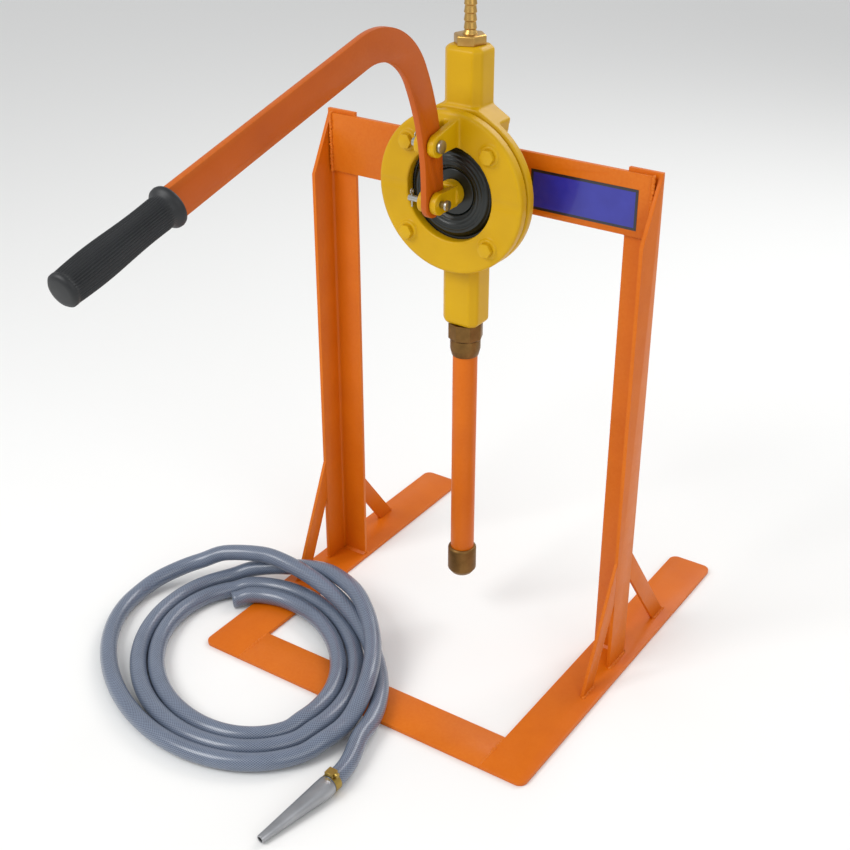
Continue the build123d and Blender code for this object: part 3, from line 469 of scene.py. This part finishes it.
def coil_point(travel):
    """One point of the coil, by degrees travelled clockwise from the left."""
    turns = travel / 360
    angle = 180 - travel % 360
    left = keyed(LEFT_REACH, turns)
    rear = keyed(REAR_REACH, turns - 0.25)
    right = keyed(RIGHT_REACH, turns - 0.5)
    front = keyed(FRONT_REACH, turns - 0.75)
    x = (left + right) / 2 + (right - left) / 2 * cos(radians(angle))
    y = (rear + front) / 2 + (rear - front) / 2 * sin(radians(angle - COIL_SKEW))
    z = FLAT_HEIGHT if -20 <= angle <= 140 else FLOOR_HEIGHT
    lap = int(travel // 360)
    if lap == 2:
        z += lift_at(THIRD_LIFT, angle)
    if lap == 3:
        z += lift_at(FOURTH_LIFT, angle)
    return Vector((x, y, z)) * MM


def nearest_on(start, end, point):
    """The point of a stretch that is nearest to another point."""
    run = end - start
    share = (point - start).dot(run) / run.length_squared
    return start + run * min(max(share, 0.0), 1.0)


def spread_strands(points, held):
    """Push the coil's strands apart until none of them passes through another.
    The last few points are held, and no point sinks below where it was laid."""
    laid = [point.copy() for point in points]
    apart = STEPS_PER_TURN // 5
    reach = HOSE_DIAMETER + STRAND_GAP
    for _ in range(SPREAD_ROUNDS):
        moves = [Vector((0, 0, 0)) for _ in points]
        for i, point in enumerate(points):
            for j in range(len(points) - 1):
                if abs(i - j) < apart or abs(i - j - 1) < apart:
                    continue
                if (points[j] - point).length_squared > (2 * reach) ** 2:
                    continue
                away = point - nearest_on(points[j], points[j + 1], point)
                if 0 < away.length < reach:
                    push = away.normalized() * (reach - away.length) * 0.25
                    moves[i] += push
                    moves[j] -= push / 2
                    moves[j + 1] -= push / 2
        shifts = [point + move - start for point, move, start in zip(points, moves, laid)]
        for i in range(1, len(points) - held):
            shift = shifts[i] * 0.5 + (shifts[i - 1] + shifts[i + 1]) * 0.25
            points[i] = laid[i] + shift
            points[i].z = max(points[i].z, laid[i].z)
    return points


def hose_route():
    """The hose's control points, from its free end in the coil to the nozzle."""
    start = 180 - FIRST_ANGLE
    end = 3 * 360 + 180 - LAST_ANGLE
    step = 360 / STEPS_PER_TURN
    points = [coil_point(start)]
    travel = step * (int(start / step) + 1)
    if travel - start < step * 0.4:
        travel += step
    while travel <= end + 0.01:
        points.append(coil_point(travel))
        travel += step
    points += [Vector(point) * MM for point in TAIL_ROUTE]
    return spread_strands(points, len(TAIL_ROUTE) + 1)


def nurbs_line(name, points, resolution):
    """The smooth line of a route: an open NURBS spline of order 3, as points."""
    curve = bpy.data.curves.new(name, "CURVE")
    curve.dimensions = "3D"
    curve.resolution_u = resolution
    spline = curve.splines.new("NURBS")
    spline.points.add(len(points) - 1)
    for place, point in zip(spline.points, points):
        place.co = (*point, 1)
    spline.order_u = 3
    spline.use_endpoint_u = True
    holder = bpy.data.objects.new(name, curve)
    bpy.context.scene.collection.objects.link(holder)
    depsgraph = bpy.context.evaluated_depsgraph_get()
    depsgraph.update()
    mesh = bpy.data.meshes.new_from_object(holder.evaluated_get(depsgraph), depsgraph=depsgraph)
    line = [vertex.co.copy() for vertex in mesh.vertices]
    bpy.data.objects.remove(holder)
    bpy.data.meshes.remove(mesh)
    bpy.data.curves.remove(curve)
    return line


def tube(name, line, radius, bore, steps):
    """A hose along a line, with a wall, open at both ends, and its own UV wrap:
    U goes once round, V is the distance along in metres."""
    bm = bmesh.new()
    wrap = bm.loops.layers.uv.new("HoseWrap")
    up = Vector((0, 0, 1))
    travelled = [0.0]
    for a, b in zip(line, line[1:]):
        travelled.append(travelled[-1] + (b - a).length)
    outer, inner = [], []
    for i, point in enumerate(line):
        ahead = line[min(i + 1, len(line) - 1)] - line[max(i - 1, 0)]
        forward = ahead.normalized()
        side = forward.cross(up).normalized()
        top = side.cross(forward)
        for radius_here, rings in ((radius, outer), (bore, inner)):
            angles = [2 * pi * k / steps for k in range(steps)]
            rings.append([
                bm.verts.new(point + (side * cos(angle) + top * sin(angle)) * radius_here)
                for angle in angles
            ])
    for rings, outward in ((outer, True), (inner, False)):
        for i in range(len(line) - 1):
            for k in range(steps):
                n = (k + 1) % steps
                corners = [rings[i][k], rings[i + 1][k], rings[i + 1][n], rings[i][n]]
                places = [(k / steps, travelled[i]), (k / steps, travelled[i + 1]),
                          ((k + 1) / steps, travelled[i + 1]), ((k + 1) / steps, travelled[i])]
                if not outward:
                    corners.reverse()
                    places.reverse()
                face = bm.faces.new(corners)
                face.smooth = True
                for loop, place in zip(face.loops, places):
                    loop[wrap].uv = place
    for end in (0, -1):
        for k in range(steps):
            n = (k + 1) % steps
            bm.faces.new((outer[end][k], outer[end][n], inner[end][n], inner[end][k]))
    return link_object(name, mesh_from(bm, name))


# ---------------------------------------------------------- geometry nodes


def empty_tree(name, inputs):
    """A geometry tree with named inputs, and its group input and output nodes."""
    tree = bpy.data.node_groups.new(name, "GeometryNodeTree")
    tree.interface.new_socket("Geometry", in_out="INPUT", socket_type="NodeSocketGeometry")
    identifiers = {}
    for label, kind in inputs:
        socket = tree.interface.new_socket(label, in_out="INPUT", socket_type=kind)
        identifiers[label] = socket.identifier
    tree.interface.new_socket("Geometry", in_out="OUTPUT", socket_type="NodeSocketGeometry")
    source = add_node(tree, "NodeGroupInput")
    sink = add_node(tree, "NodeGroupOutput")
    return tree, source, sink, identifiers


def baked_tree(name, tree, identifiers, values, mesh=None):
    """Run a geometry tree on a new object and keep its result as plain mesh."""
    piece = link_object(name, mesh or bpy.data.meshes.new(name))
    modifier = piece.modifiers.new("Shape", "NODES")
    modifier.node_group = tree
    for label, value in values.items():
        modifier[identifiers[label]] = value
    apply_modifiers(piece)
    return piece


def weld_bead_tree():
    """Overlapping flat drops along a run, as a hand-laid weld has."""
    tree, source, sink, identifiers = empty_tree("Weld bead", [
        ("Start", "NodeSocketVector"), ("End", "NodeSocketVector"),
        ("Drops", "NodeSocketInt"), ("Drop Radius", "NodeSocketFloat"),
        ("Finish", "NodeSocketMaterial"),
    ])
    line = add_node(tree, "GeometryNodeMeshLine", {"mode": "END_POINTS"}, {
        "Count": source.outputs["Drops"], "Start Location": source.outputs["Start"],
        "Offset": source.outputs["End"],
    })
    drop = add_node(tree, "GeometryNodeMeshIcoSphere", inputs={
        "Radius": source.outputs["Drop Radius"], "Subdivisions": 2,
    })
    size = add_node(tree, "FunctionNodeRandomValue", {"data_type": "FLOAT"}, {"Seed": 7})
    size.inputs[2].default_value = 0.82
    size.inputs[3].default_value = 1.12
    wobble = add_node(tree, "FunctionNodeRandomValue", {"data_type": "FLOAT_VECTOR"}, {
        "Min": (-0.0006, -0.0006, -0.0006), "Max": (0.0006, 0.0006, 0.0006), "Seed": 11,
    })
    placed = add_node(tree, "GeometryNodeSetPosition", inputs={
        "Geometry": line.outputs["Mesh"], "Offset": wobble.outputs["Value"],
    })
    drops = add_node(tree, "GeometryNodeInstanceOnPoints", inputs={
        "Points": placed.outputs["Geometry"], "Instance": drop.outputs["Mesh"],
        "Scale": size.outputs[1],
    })
    real = add_node(tree, "GeometryNodeRealizeInstances", inputs={"Geometry": drops.outputs["Instances"]})
    smooth = add_node(tree, "GeometryNodeSetShadeSmooth", inputs={"Geometry": real.outputs["Geometry"]})
    painted = add_node(tree, "GeometryNodeSetMaterial", inputs={
        "Geometry": smooth.outputs["Geometry"], "Material": source.outputs["Finish"],
    })
    tree.links.new(painted.outputs["Geometry"], sink.inputs["Geometry"])
    return tree, identifiers


# --------------------------------------------------------------- properties


class PumpSizes(bpy.types.PropertyGroup):
    """Sizes and counts of the details that the CAD frame doesn't hold."""

    edge_rounding: FloatProperty(
        name="Edge rounding", description="Radius that paint and rolling give to the steel's edges",
        default=0.0008, unit="LENGTH")
    cast_grain: FloatProperty(
        name="Casting voxel", description="Grid that the cast skin is built on",
        default=0.0016, unit="LENGTH")
    cast_rounds: IntProperty(
        name="Casting rounds", description="Smoothing rounds that make the casting's fillets", default=7)
    weld_drop: FloatProperty(
        name="Weld drop", description="Radius of one drop of the welds", default=0.0026, unit="LENGTH")
    diaphragm_sectors: IntProperty(
        name="Diaphragm sectors", description="Wedges that the flexing diaphragm is made in", default=12)
    hose_wall: FloatProperty(
        name="Hose wall", description="Thickness of the hose's wall", default=0.0035, unit="LENGTH")
    hose_braid: FloatProperty(
        name="Braid cell", description="Width of one cell of the hose's braid, in millimetres", default=3.2)


class StudioSizes(bpy.types.PropertyGroup):
    """The stage: camera, lights and floor."""

    camera_place: FloatVectorProperty(
        name="Camera place", description="Where the camera stands",
        default=(0.8999, -1.1989, 1.2465), subtype="TRANSLATION", unit="LENGTH")
    camera_forward: FloatVectorProperty(
        name="Camera forward", description="The way the camera looks", default=(-0.48864, 0.72849, -0.48013))
    camera_up: FloatVectorProperty(
        name="Camera up", description="The camera's own up", default=(-0.26783, 0.39849, 0.87720))
    camera_lens: FloatProperty(
        name="Lens", description="Focal length on a 36 mm sensor, in millimetres", default=59.06)
    floor_colour: StringProperty(
        name="Floor colour", description="sRGB hex colour of the floor", default="F4F4F2")


# ---------------------------------------------------------------- operators


class PUMP_OT_stage(bpy.types.Operator):
    """Set up the floor, the soft studio light and the camera"""

    bl_idname = "pump.stage"
    bl_label = "Stage"

    def execute(self, context):
        sizes = context.scene.studio_sizes
        scene = context.scene
        bm = bmesh.new()
        bmesh.ops.create_grid(bm, x_segments=2, y_segments=2, size=6)
        floor = link_object("studio_floor", mesh_from(bm, "studio_floor"))
        floor.data.transform(Matrix.Translation((0, 0, -0.0004)))
        set_material(floor, studio_floor("Pale studio floor", sizes.floor_colour))
        forward = Vector(sizes.camera_forward).normalized()
        up = Vector(sizes.camera_up).normalized()
        right = forward.cross(up).normalized()
        camera = bpy.data.cameras.new("camera")
        camera.sensor_width = 36
        camera.lens = sizes.camera_lens
        holder = bpy.data.objects.new("camera", camera)
        turn = Matrix((right, right.cross(forward), -forward)).transposed().to_4x4()
        holder.matrix_world = Matrix.Translation(Vector(sizes.camera_place)) @ turn
        scene.collection.objects.link(holder)
        scene.camera = holder
        world = bpy.data.worlds.new("Studio air")
        world.use_nodes = True
        background = world.node_tree.nodes["Background"]
        background.inputs["Color"].default_value = linear("F7F8FA")
        background.inputs["Strength"].default_value = 0.68
        scene.world = world
        scene.view_settings.view_transform = "Standard"
        target = Vector((0, 0.1, 0.45))
        for name, place, power, size in (
            ("key_light", (-0.9, -1.9, 2.3), 40, 1.4),
            ("fill_light", (2.2, -0.9, 1.6), 12, 1.8),
            ("rim_light", (0.4, 2.2, 2.2), 26, 1.4),
        ):
            light = bpy.data.lights.new(name, "AREA")
            light.energy = power
            light.size = size
            lamp = bpy.data.objects.new(name, light)
            lamp.location = place
            lamp.rotation_euler = (target - Vector(place)).to_track_quat("-Z", "Y").to_euler()
            scene.collection.objects.link(lamp)
        return {"FINISHED"}


class PUMP_OT_hose(bpy.types.Operator):
    """Lay the coiled delivery hose"""

    bl_idname = "pump.hose"
    bl_label = "Hose"

    def execute(self, context):
        sizes = context.scene.pump_sizes
        route = hose_route()
        line = nurbs_line("hose_route", route, 3)
        radius = HOSE_DIAMETER / 2
        hose = tube("delivery_hose", line, radius, radius - sizes.hose_wall, 28)
        set_material(hose, braided_pvc(
            "Braided clear PVC", "5C677C", "A3AFC0", "3F4A5E", sizes.hose_braid, HOSE_DIAMETER))
        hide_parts("hose_coil", "hose_tail")
        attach(hose, "stand")
        self.nozzle_end(context)
        return {"FINISHED"}

    def nozzle_end(self, context):
        """The nozzle and its worm clamp."""
        eased_piece("nozzle", "stand", finish("nozzle_metal"), 0.0006, 2)
        eased_piece("hose_clamp", "stand", finish("yellow_zinc"), 0.0003, 1)
        eased_piece("clamp_screw", "stand", finish("yellow_zinc"), 0.0005, 2)


class PUMP_OT_stand(bpy.types.Operator):
    """Build the welded floor stand"""

    bl_idname = "pump.stand"
    bl_label = "Floor stand"

    def execute(self, context):
        sizes = context.scene.pump_sizes
        paint = finish("orange_enamel")
        for node in (
            "left_foot", "right_foot", "front_crossbar", "left_upright", "right_upright", "top_rail",
            "left_front_strap", "left_rear_strap", "right_front_strap", "right_rear_strap",
        ):
            eased_piece(node, "stand", paint, sizes.edge_rounding, 2)
        for node in ("left_foot_weld", "right_foot_weld"):
            eased_piece(node, "stand", paint, 0.0009, 3)
        self.welds(sizes, paint)
        return {"FINISHED"}

    def welds(self, sizes, paint):
        """Weld beads along the joints of the frame."""
        tree, identifiers = weld_bead_tree()
        parts = []
        for start, end in self.weld_runs():
            run = Vector(end) - Vector(start)
            drops = max(3, int(run.length / (sizes.weld_drop * 0.85)))
            bead = baked_tree("weld_run", tree, identifiers, {
                "Start": start, "End": end, "Drops": drops,
                "Drop Radius": sizes.weld_drop, "Finish": paint,
            })
            parts.append(bead)
        joined = join_pieces("frame_welds", parts)
        set_material(joined, paint)
        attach(joined, "stand")

    def weld_runs(self):
        """Where the frame's members meet, as pairs of points."""
        runs = []
        for side in ("left", "right"):
            low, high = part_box(f"{side}_upright")
            outer, inner = (low.x, high.x) if side == "left" else (high.x, low.x)
            runs.append(((outer, low.y, low.z), (outer, high.y, low.z)))
            runs.append(((inner, high.y, low.z), (outer, high.y, low.z)))
            rail_low, rail_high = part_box("top_rail")
            rail_end = rail_low.x if side == "left" else rail_high.x
            runs.append(((rail_end, rail_low.y, rail_low.z), (rail_end, rail_low.y, rail_high.z)))
            runs.append(((inner, rail_high.y, rail_low.z), (rail_end, rail_high.y, rail_low.z)))
            bar_low, bar_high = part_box("front_crossbar")
            joint = bar_low.x if side == "left" else bar_high.x
            sink = bar_high.z - GROUND_WELD_SINK
            ends = (bar_low.y + WELD_END_GAP, bar_high.y - WELD_END_GAP)
            runs.append(((joint, ends[0], sink), (joint, ends[1], sink)))
            for end in ("front", "rear"):
                strap_low, strap_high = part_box(f"{side}_{end}_strap")
                x = strap_low.x if side == "left" else strap_high.x
                foot_y = strap_low.y if end == "front" else strap_high.y
                toward = FRONT_STRAP_FOOT if end == "front" else -REAR_STRAP_FOOT
                runs.append(((x, foot_y, strap_low.z), (x, foot_y + toward, strap_low.z)))
        return runs


GROUND_WELD_SINK = 1.6 * MM     # butt welds are ground nearly flush with the base
WELD_END_GAP = 3 * MM
FRONT_STRAP_FOOT = 28 * MM      # length of a strap's foot on the base
REAR_STRAP_FOOT = 31 * MM


def join_pieces(name, parts):
    """Join several pieces into one mesh object."""
    bm = bmesh.new()
    for part in parts:
        bm.from_mesh(part.data)
        mesh = part.data
        bpy.data.objects.remove(part)
        bpy.data.meshes.remove(mesh)
    mesh = bpy.data.meshes.new(name)
    bm.to_mesh(mesh)
    bm.free()
    return link_object(name, mesh)


class PUMP_OT_casting(bpy.types.Operator):
    """Build the cast pump body and its clamp ring, with their bolts"""

    bl_idname = "pump.casting"
    bl_label = "Pump castings"

    def execute(self, context):
        sizes = context.scene.pump_sizes
        paint = finish("yellow_enamel")
        cast_piece("pump_body", "stand", paint, sizes.cast_grain, sizes.cast_rounds)
        cast_piece("clamp_ring", "stand", paint, sizes.cast_grain, sizes.cast_rounds)
        eased_piece("clamp_bolts", "stand", paint, 0.0008, 2)
        for node in ("clamp_nuts", "rail_bolts"):
            eased_piece(node, "stand", finish("zinc"), 0.0006, 2)
        return {"FINISHED"}


class PUMP_OT_fittings(bpy.types.Operator):
    """Build the suction and delivery fittings and the valves"""

    bl_idname = "pump.fittings"
    bl_label = "Fittings and valves"

    def execute(self, context):
        for node, material, width, slot in (
            ("delivery_bushing", "brass", 0.0006, "brass"),
            ("delivery_barb", "brass", 0.0002, "brass"),
            ("union_nut", "bronze", 0.0008, "bronze"),
            ("union_tail", "bronze", 0.0008, "bronze"),
            ("foot_cup", "bronze", 0.0008, "bronze"),
            ("strainer_disc", "zinc", 0.0003, "zinc"),
            ("suction_pipe", "orange_enamel", 0.0006, "frame_paint"),
            ("inlet_seat", "bronze", 0.0003, "bronze"),
            ("outlet_seat", "bronze", 0.0003, "bronze"),
            ("inlet_stop", "zinc", 0.0003, "zinc"),
            ("outlet_stop", "zinc", 0.0003, "zinc"),
        ):
            eased_piece(node, "stand", finish(material), width, 2)
        for node in ("inlet_ball", "outlet_ball"):
            dress(node, finish("ball_steel"))
        return {"FINISHED"}


UNDER_PLATE = 4 * MM        # how far the skin runs in under the front plate
SKIN_RIM = 66 * MM          # radius where the skin passes behind the clamp ring
SKIN_THICK = 2.8 * MM
ROLL_OUTER = 58 * MM        # outer radius of the roll
ROLL_HEIGHT = 9.5 * MM
RIPPLE_HEIGHT = 0.8 * MM    # moulded rings on the roll
RIPPLE_PITCH = 5.2 * MM
RIPPLE_REACH = 1.25         # how far the rings run, in half widths of the roll


class PUMP_OT_diaphragm(bpy.types.Operator):
    """Build the rubber diaphragm and what is clamped to its middle"""

    bl_idname = "pump.diaphragm"
    bl_label = "Diaphragm and clevis"

    def execute(self, context):
        sizes = context.scene.pump_sizes
        self.sectors(sizes)
        eased_piece("front_plate", "plunger", finish("diaphragm_rubber"), 0.0008, 2)
        for node in ("rear_plate", "center_stud", "stud_nut"):
            eased_piece(node, "plunger", finish("zinc"), 0.0004, 2)
        cast_piece("clevis", "plunger", finish("yellow_enamel"), 0.0007, 6)
        for node, body in (
            ("clevis_pin", "plunger"), ("clevis_split_pin", "plunger"),
            ("fulcrum_pin", "stand"), ("fulcrum_split_pin", "stand"),
        ):
            eased_piece(node, body, finish("zinc"), 0.0005, 2)
        return {"FINISHED"}

    def sectors(self, sizes):
        """The diaphragm's skin, as wedges that run from the rim to the centre."""
        middle = centre("diaphragm")
        plate_low, plate_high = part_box("front_plate")
        plate_radius = (plate_high.x - plate_low.x) / 2
        hub = plate_radius - UNDER_PLATE
        face = plate_high.y
        roll_middle = (plate_radius + ROLL_OUTER) / 2
        roll_half = ROLL_OUTER - roll_middle
        rows = 30
        count = sizes.diaphragm_sectors
        per_sector = 8
        for k in range(count):
            bm = bmesh.new()
            grid = []
            for r in range(rows + 1):
                radius = hub + (SKIN_RIM - hub) * r / rows
                across = (radius - roll_middle) / roll_half
                crest = ROLL_HEIGHT * sqrt(max(0.0, 1 - across * across))
                ripple = RIPPLE_HEIGHT * cos(radius / RIPPLE_PITCH * 2 * pi)
                front = face - crest - (ripple if abs(across) < RIPPLE_REACH else 0)
                row = []
                for s in range(per_sector + 1):
                    angle = 2 * pi * (k + s / per_sector) / count
                    place = (radius * cos(angle), front, middle.z + radius * sin(angle))
                    row.append(bm.verts.new(place))
                grid.append(row)
            back = []
            for row in grid:
                back.append([bm.verts.new(v.co + Vector((0, SKIN_THICK, 0))) for v in row])
            for r in range(rows):
                for s in range(per_sector):
                    bm.faces.new((grid[r][s], grid[r][s + 1], grid[r + 1][s + 1], grid[r + 1][s]))
                    bm.faces.new((back[r][s], back[r + 1][s], back[r + 1][s + 1], back[r][s + 1]))
            for edge_row in (0, rows):
                for s in range(per_sector):
                    bm.faces.new((grid[edge_row][s], grid[edge_row][s + 1],
                                  back[edge_row][s + 1], back[edge_row][s]))
            mesh = mesh_from(bm, f"diaphragm_sector_{k + 1:02d}")
            for polygon in mesh.polygons:
                polygon.use_smooth = True
            piece = link_object(mesh.name, mesh)
            set_material(piece, finish("diaphragm_rubber"))
            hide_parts("diaphragm")
            angle = 2 * pi * (k + 0.5) / count
            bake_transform(piece)


GRIP_LENGTH = 150 * MM
GRIP_COLLAR = 22 * MM       # radius of the collar at the lever's end of the grip
GRIP_BODY = 17.5 * MM
GRIP_HEADING = 194.5        # degrees from +Y, turning about +X
RIB_HEIGHT = 0.45 * MM


class PUMP_OT_lever(bpy.types.Operator):
    """Build the gooseneck lever and its rubber grip"""

    bl_idname = "pump.lever"
    bl_label = "Lever and grip"

    def execute(self, context):
        eased_piece("lever", "lever", finish("lever_enamel"), 0.0009, 2)
        self.grip()
        return {"FINISHED"}

    def grip(self):
        """A moulded handlebar grip: a collar, a swelling body with fine ribs, a closed end."""
        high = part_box("lever_grip")[1]
        length = GRIP_LENGTH
        collar, body = GRIP_COLLAR, GRIP_BODY
        direction = Vector((0, cos(radians(GRIP_HEADING)), sin(radians(GRIP_HEADING))))
        start = Vector((0, high.y - collar * abs(direction.z), high.z - collar * abs(direction.y)))
        ribs = 40
        steps = 240
        profile = [
            (0.0085, 0.0), (collar - 0.002, 0.0), (collar - 0.0005, 0.0008), (collar, 0.0026),
            (collar - 0.0004, 0.0054), (collar - 0.0018, 0.0072), (body + 0.0004, 0.0100),
        ]
        rows = 34
        for i in range(rows + 1):
            along = i / rows
            swell = 0.0006 * sin(pi * along) - 0.0008 * sin(2 * pi * along)
            profile.append((body - 0.0006 + swell, 0.0125 + along * (length - 0.020)))
        profile += [
            (body + 0.0002, length - 0.0062), (body, length - 0.0030),
            (body - 0.0022, length - 0.0008), (body - 0.006, length), (0.0, length),
        ]
        bm = bmesh.new()
        rings = []
        ribbed = range(8, 8 + rows)
        for r, (radius, height) in enumerate(profile):
            if radius < 1e-6:
                rings.append([bm.verts.new((0, 0, height))])
                continue
            ring = []
            for i in range(steps):
                angle = 2 * pi * i / steps
                here = radius
                if r in ribbed:
                    here += RIB_HEIGHT * cos(ribs * angle)
                ring.append(bm.verts.new((here * cos(angle), here * sin(angle), height)))
            rings.append(ring)
        for lower, upper in zip(rings, rings[1:]):
            for i in range(steps):
                j = (i + 1) % steps
                if len(upper) == 1:
                    bm.faces.new((lower[i], lower[j], upper[0]))
                else:
                    bm.faces.new((lower[i], lower[j], upper[j], upper[i]))
        bm.faces.new(list(reversed(rings[0])))
        mesh = mesh_from(bm, "grip_moulding")
        mesh.transform(axis_matrix(start, direction))
        shade_smooth(mesh, 50)
        piece = link_object("grip_moulding", mesh)
        set_material(piece, finish("grip_rubber"))
        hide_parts("lever_grip")
        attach(piece, "lever")


class PUMP_OT_label(bpy.types.Operator):
    """Build the plain label on the rail"""

    bl_idname = "pump.label"
    bl_label = "Rail label"

    def execute(self, context):
        low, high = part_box("name_plate")
        dress("name_plate", printed_label(
            "Printed vinyl label", "15158A", "15121C", low, high, 0.0035))
        return {"FINISHED"}


class PUMP_PT_panel(bpy.types.Panel):
    """The pump's operators and sizes"""

    bl_idname = "PUMP_PT_panel"
    bl_label = "Diaphragm pump"
    bl_space_type = "VIEW_3D"
    bl_region_type = "UI"
    bl_category = "Pump"

    def draw(self, context):
        layout = self.layout
        for operator in OPERATORS:
            layout.operator(operator.bl_idname)
        for group in (context.scene.pump_sizes, context.scene.studio_sizes):
            for name in group.__annotations__:
                layout.prop(group, name)


OPERATORS = (
    PUMP_OT_stage,
    PUMP_OT_hose,
    PUMP_OT_stand,
    PUMP_OT_casting,
    PUMP_OT_fittings,
    PUMP_OT_diaphragm,
    PUMP_OT_lever,
    PUMP_OT_label,
)
CLASSES = (PumpSizes, StudioSizes, *OPERATORS, PUMP_PT_panel)


def register():
    """Register the classes and hang the sizes on the scene."""
    for cls in CLASSES:
        bpy.utils.register_class(cls)
    bpy.types.Scene.pump_sizes = PointerProperty(type=PumpSizes)
    bpy.types.Scene.studio_sizes = PointerProperty(type=StudioSizes)


def unregister():
    """Take the sizes and the classes off again."""
    del bpy.types.Scene.studio_sizes
    del bpy.types.Scene.pump_sizes
    for cls in reversed(CLASSES):
        bpy.utils.unregister_class(cls)


def main():
    """Build every piece."""
    register()
    bpy.ops.pump.stage()
    bpy.ops.pump.hose()
    bpy.ops.pump.stand()
    bpy.ops.pump.casting()
    bpy.ops.pump.fittings()
    bpy.ops.pump.diaphragm()
    bpy.ops.pump.lever()
    bpy.ops.pump.label()


if __name__ == "__main__":
    main()
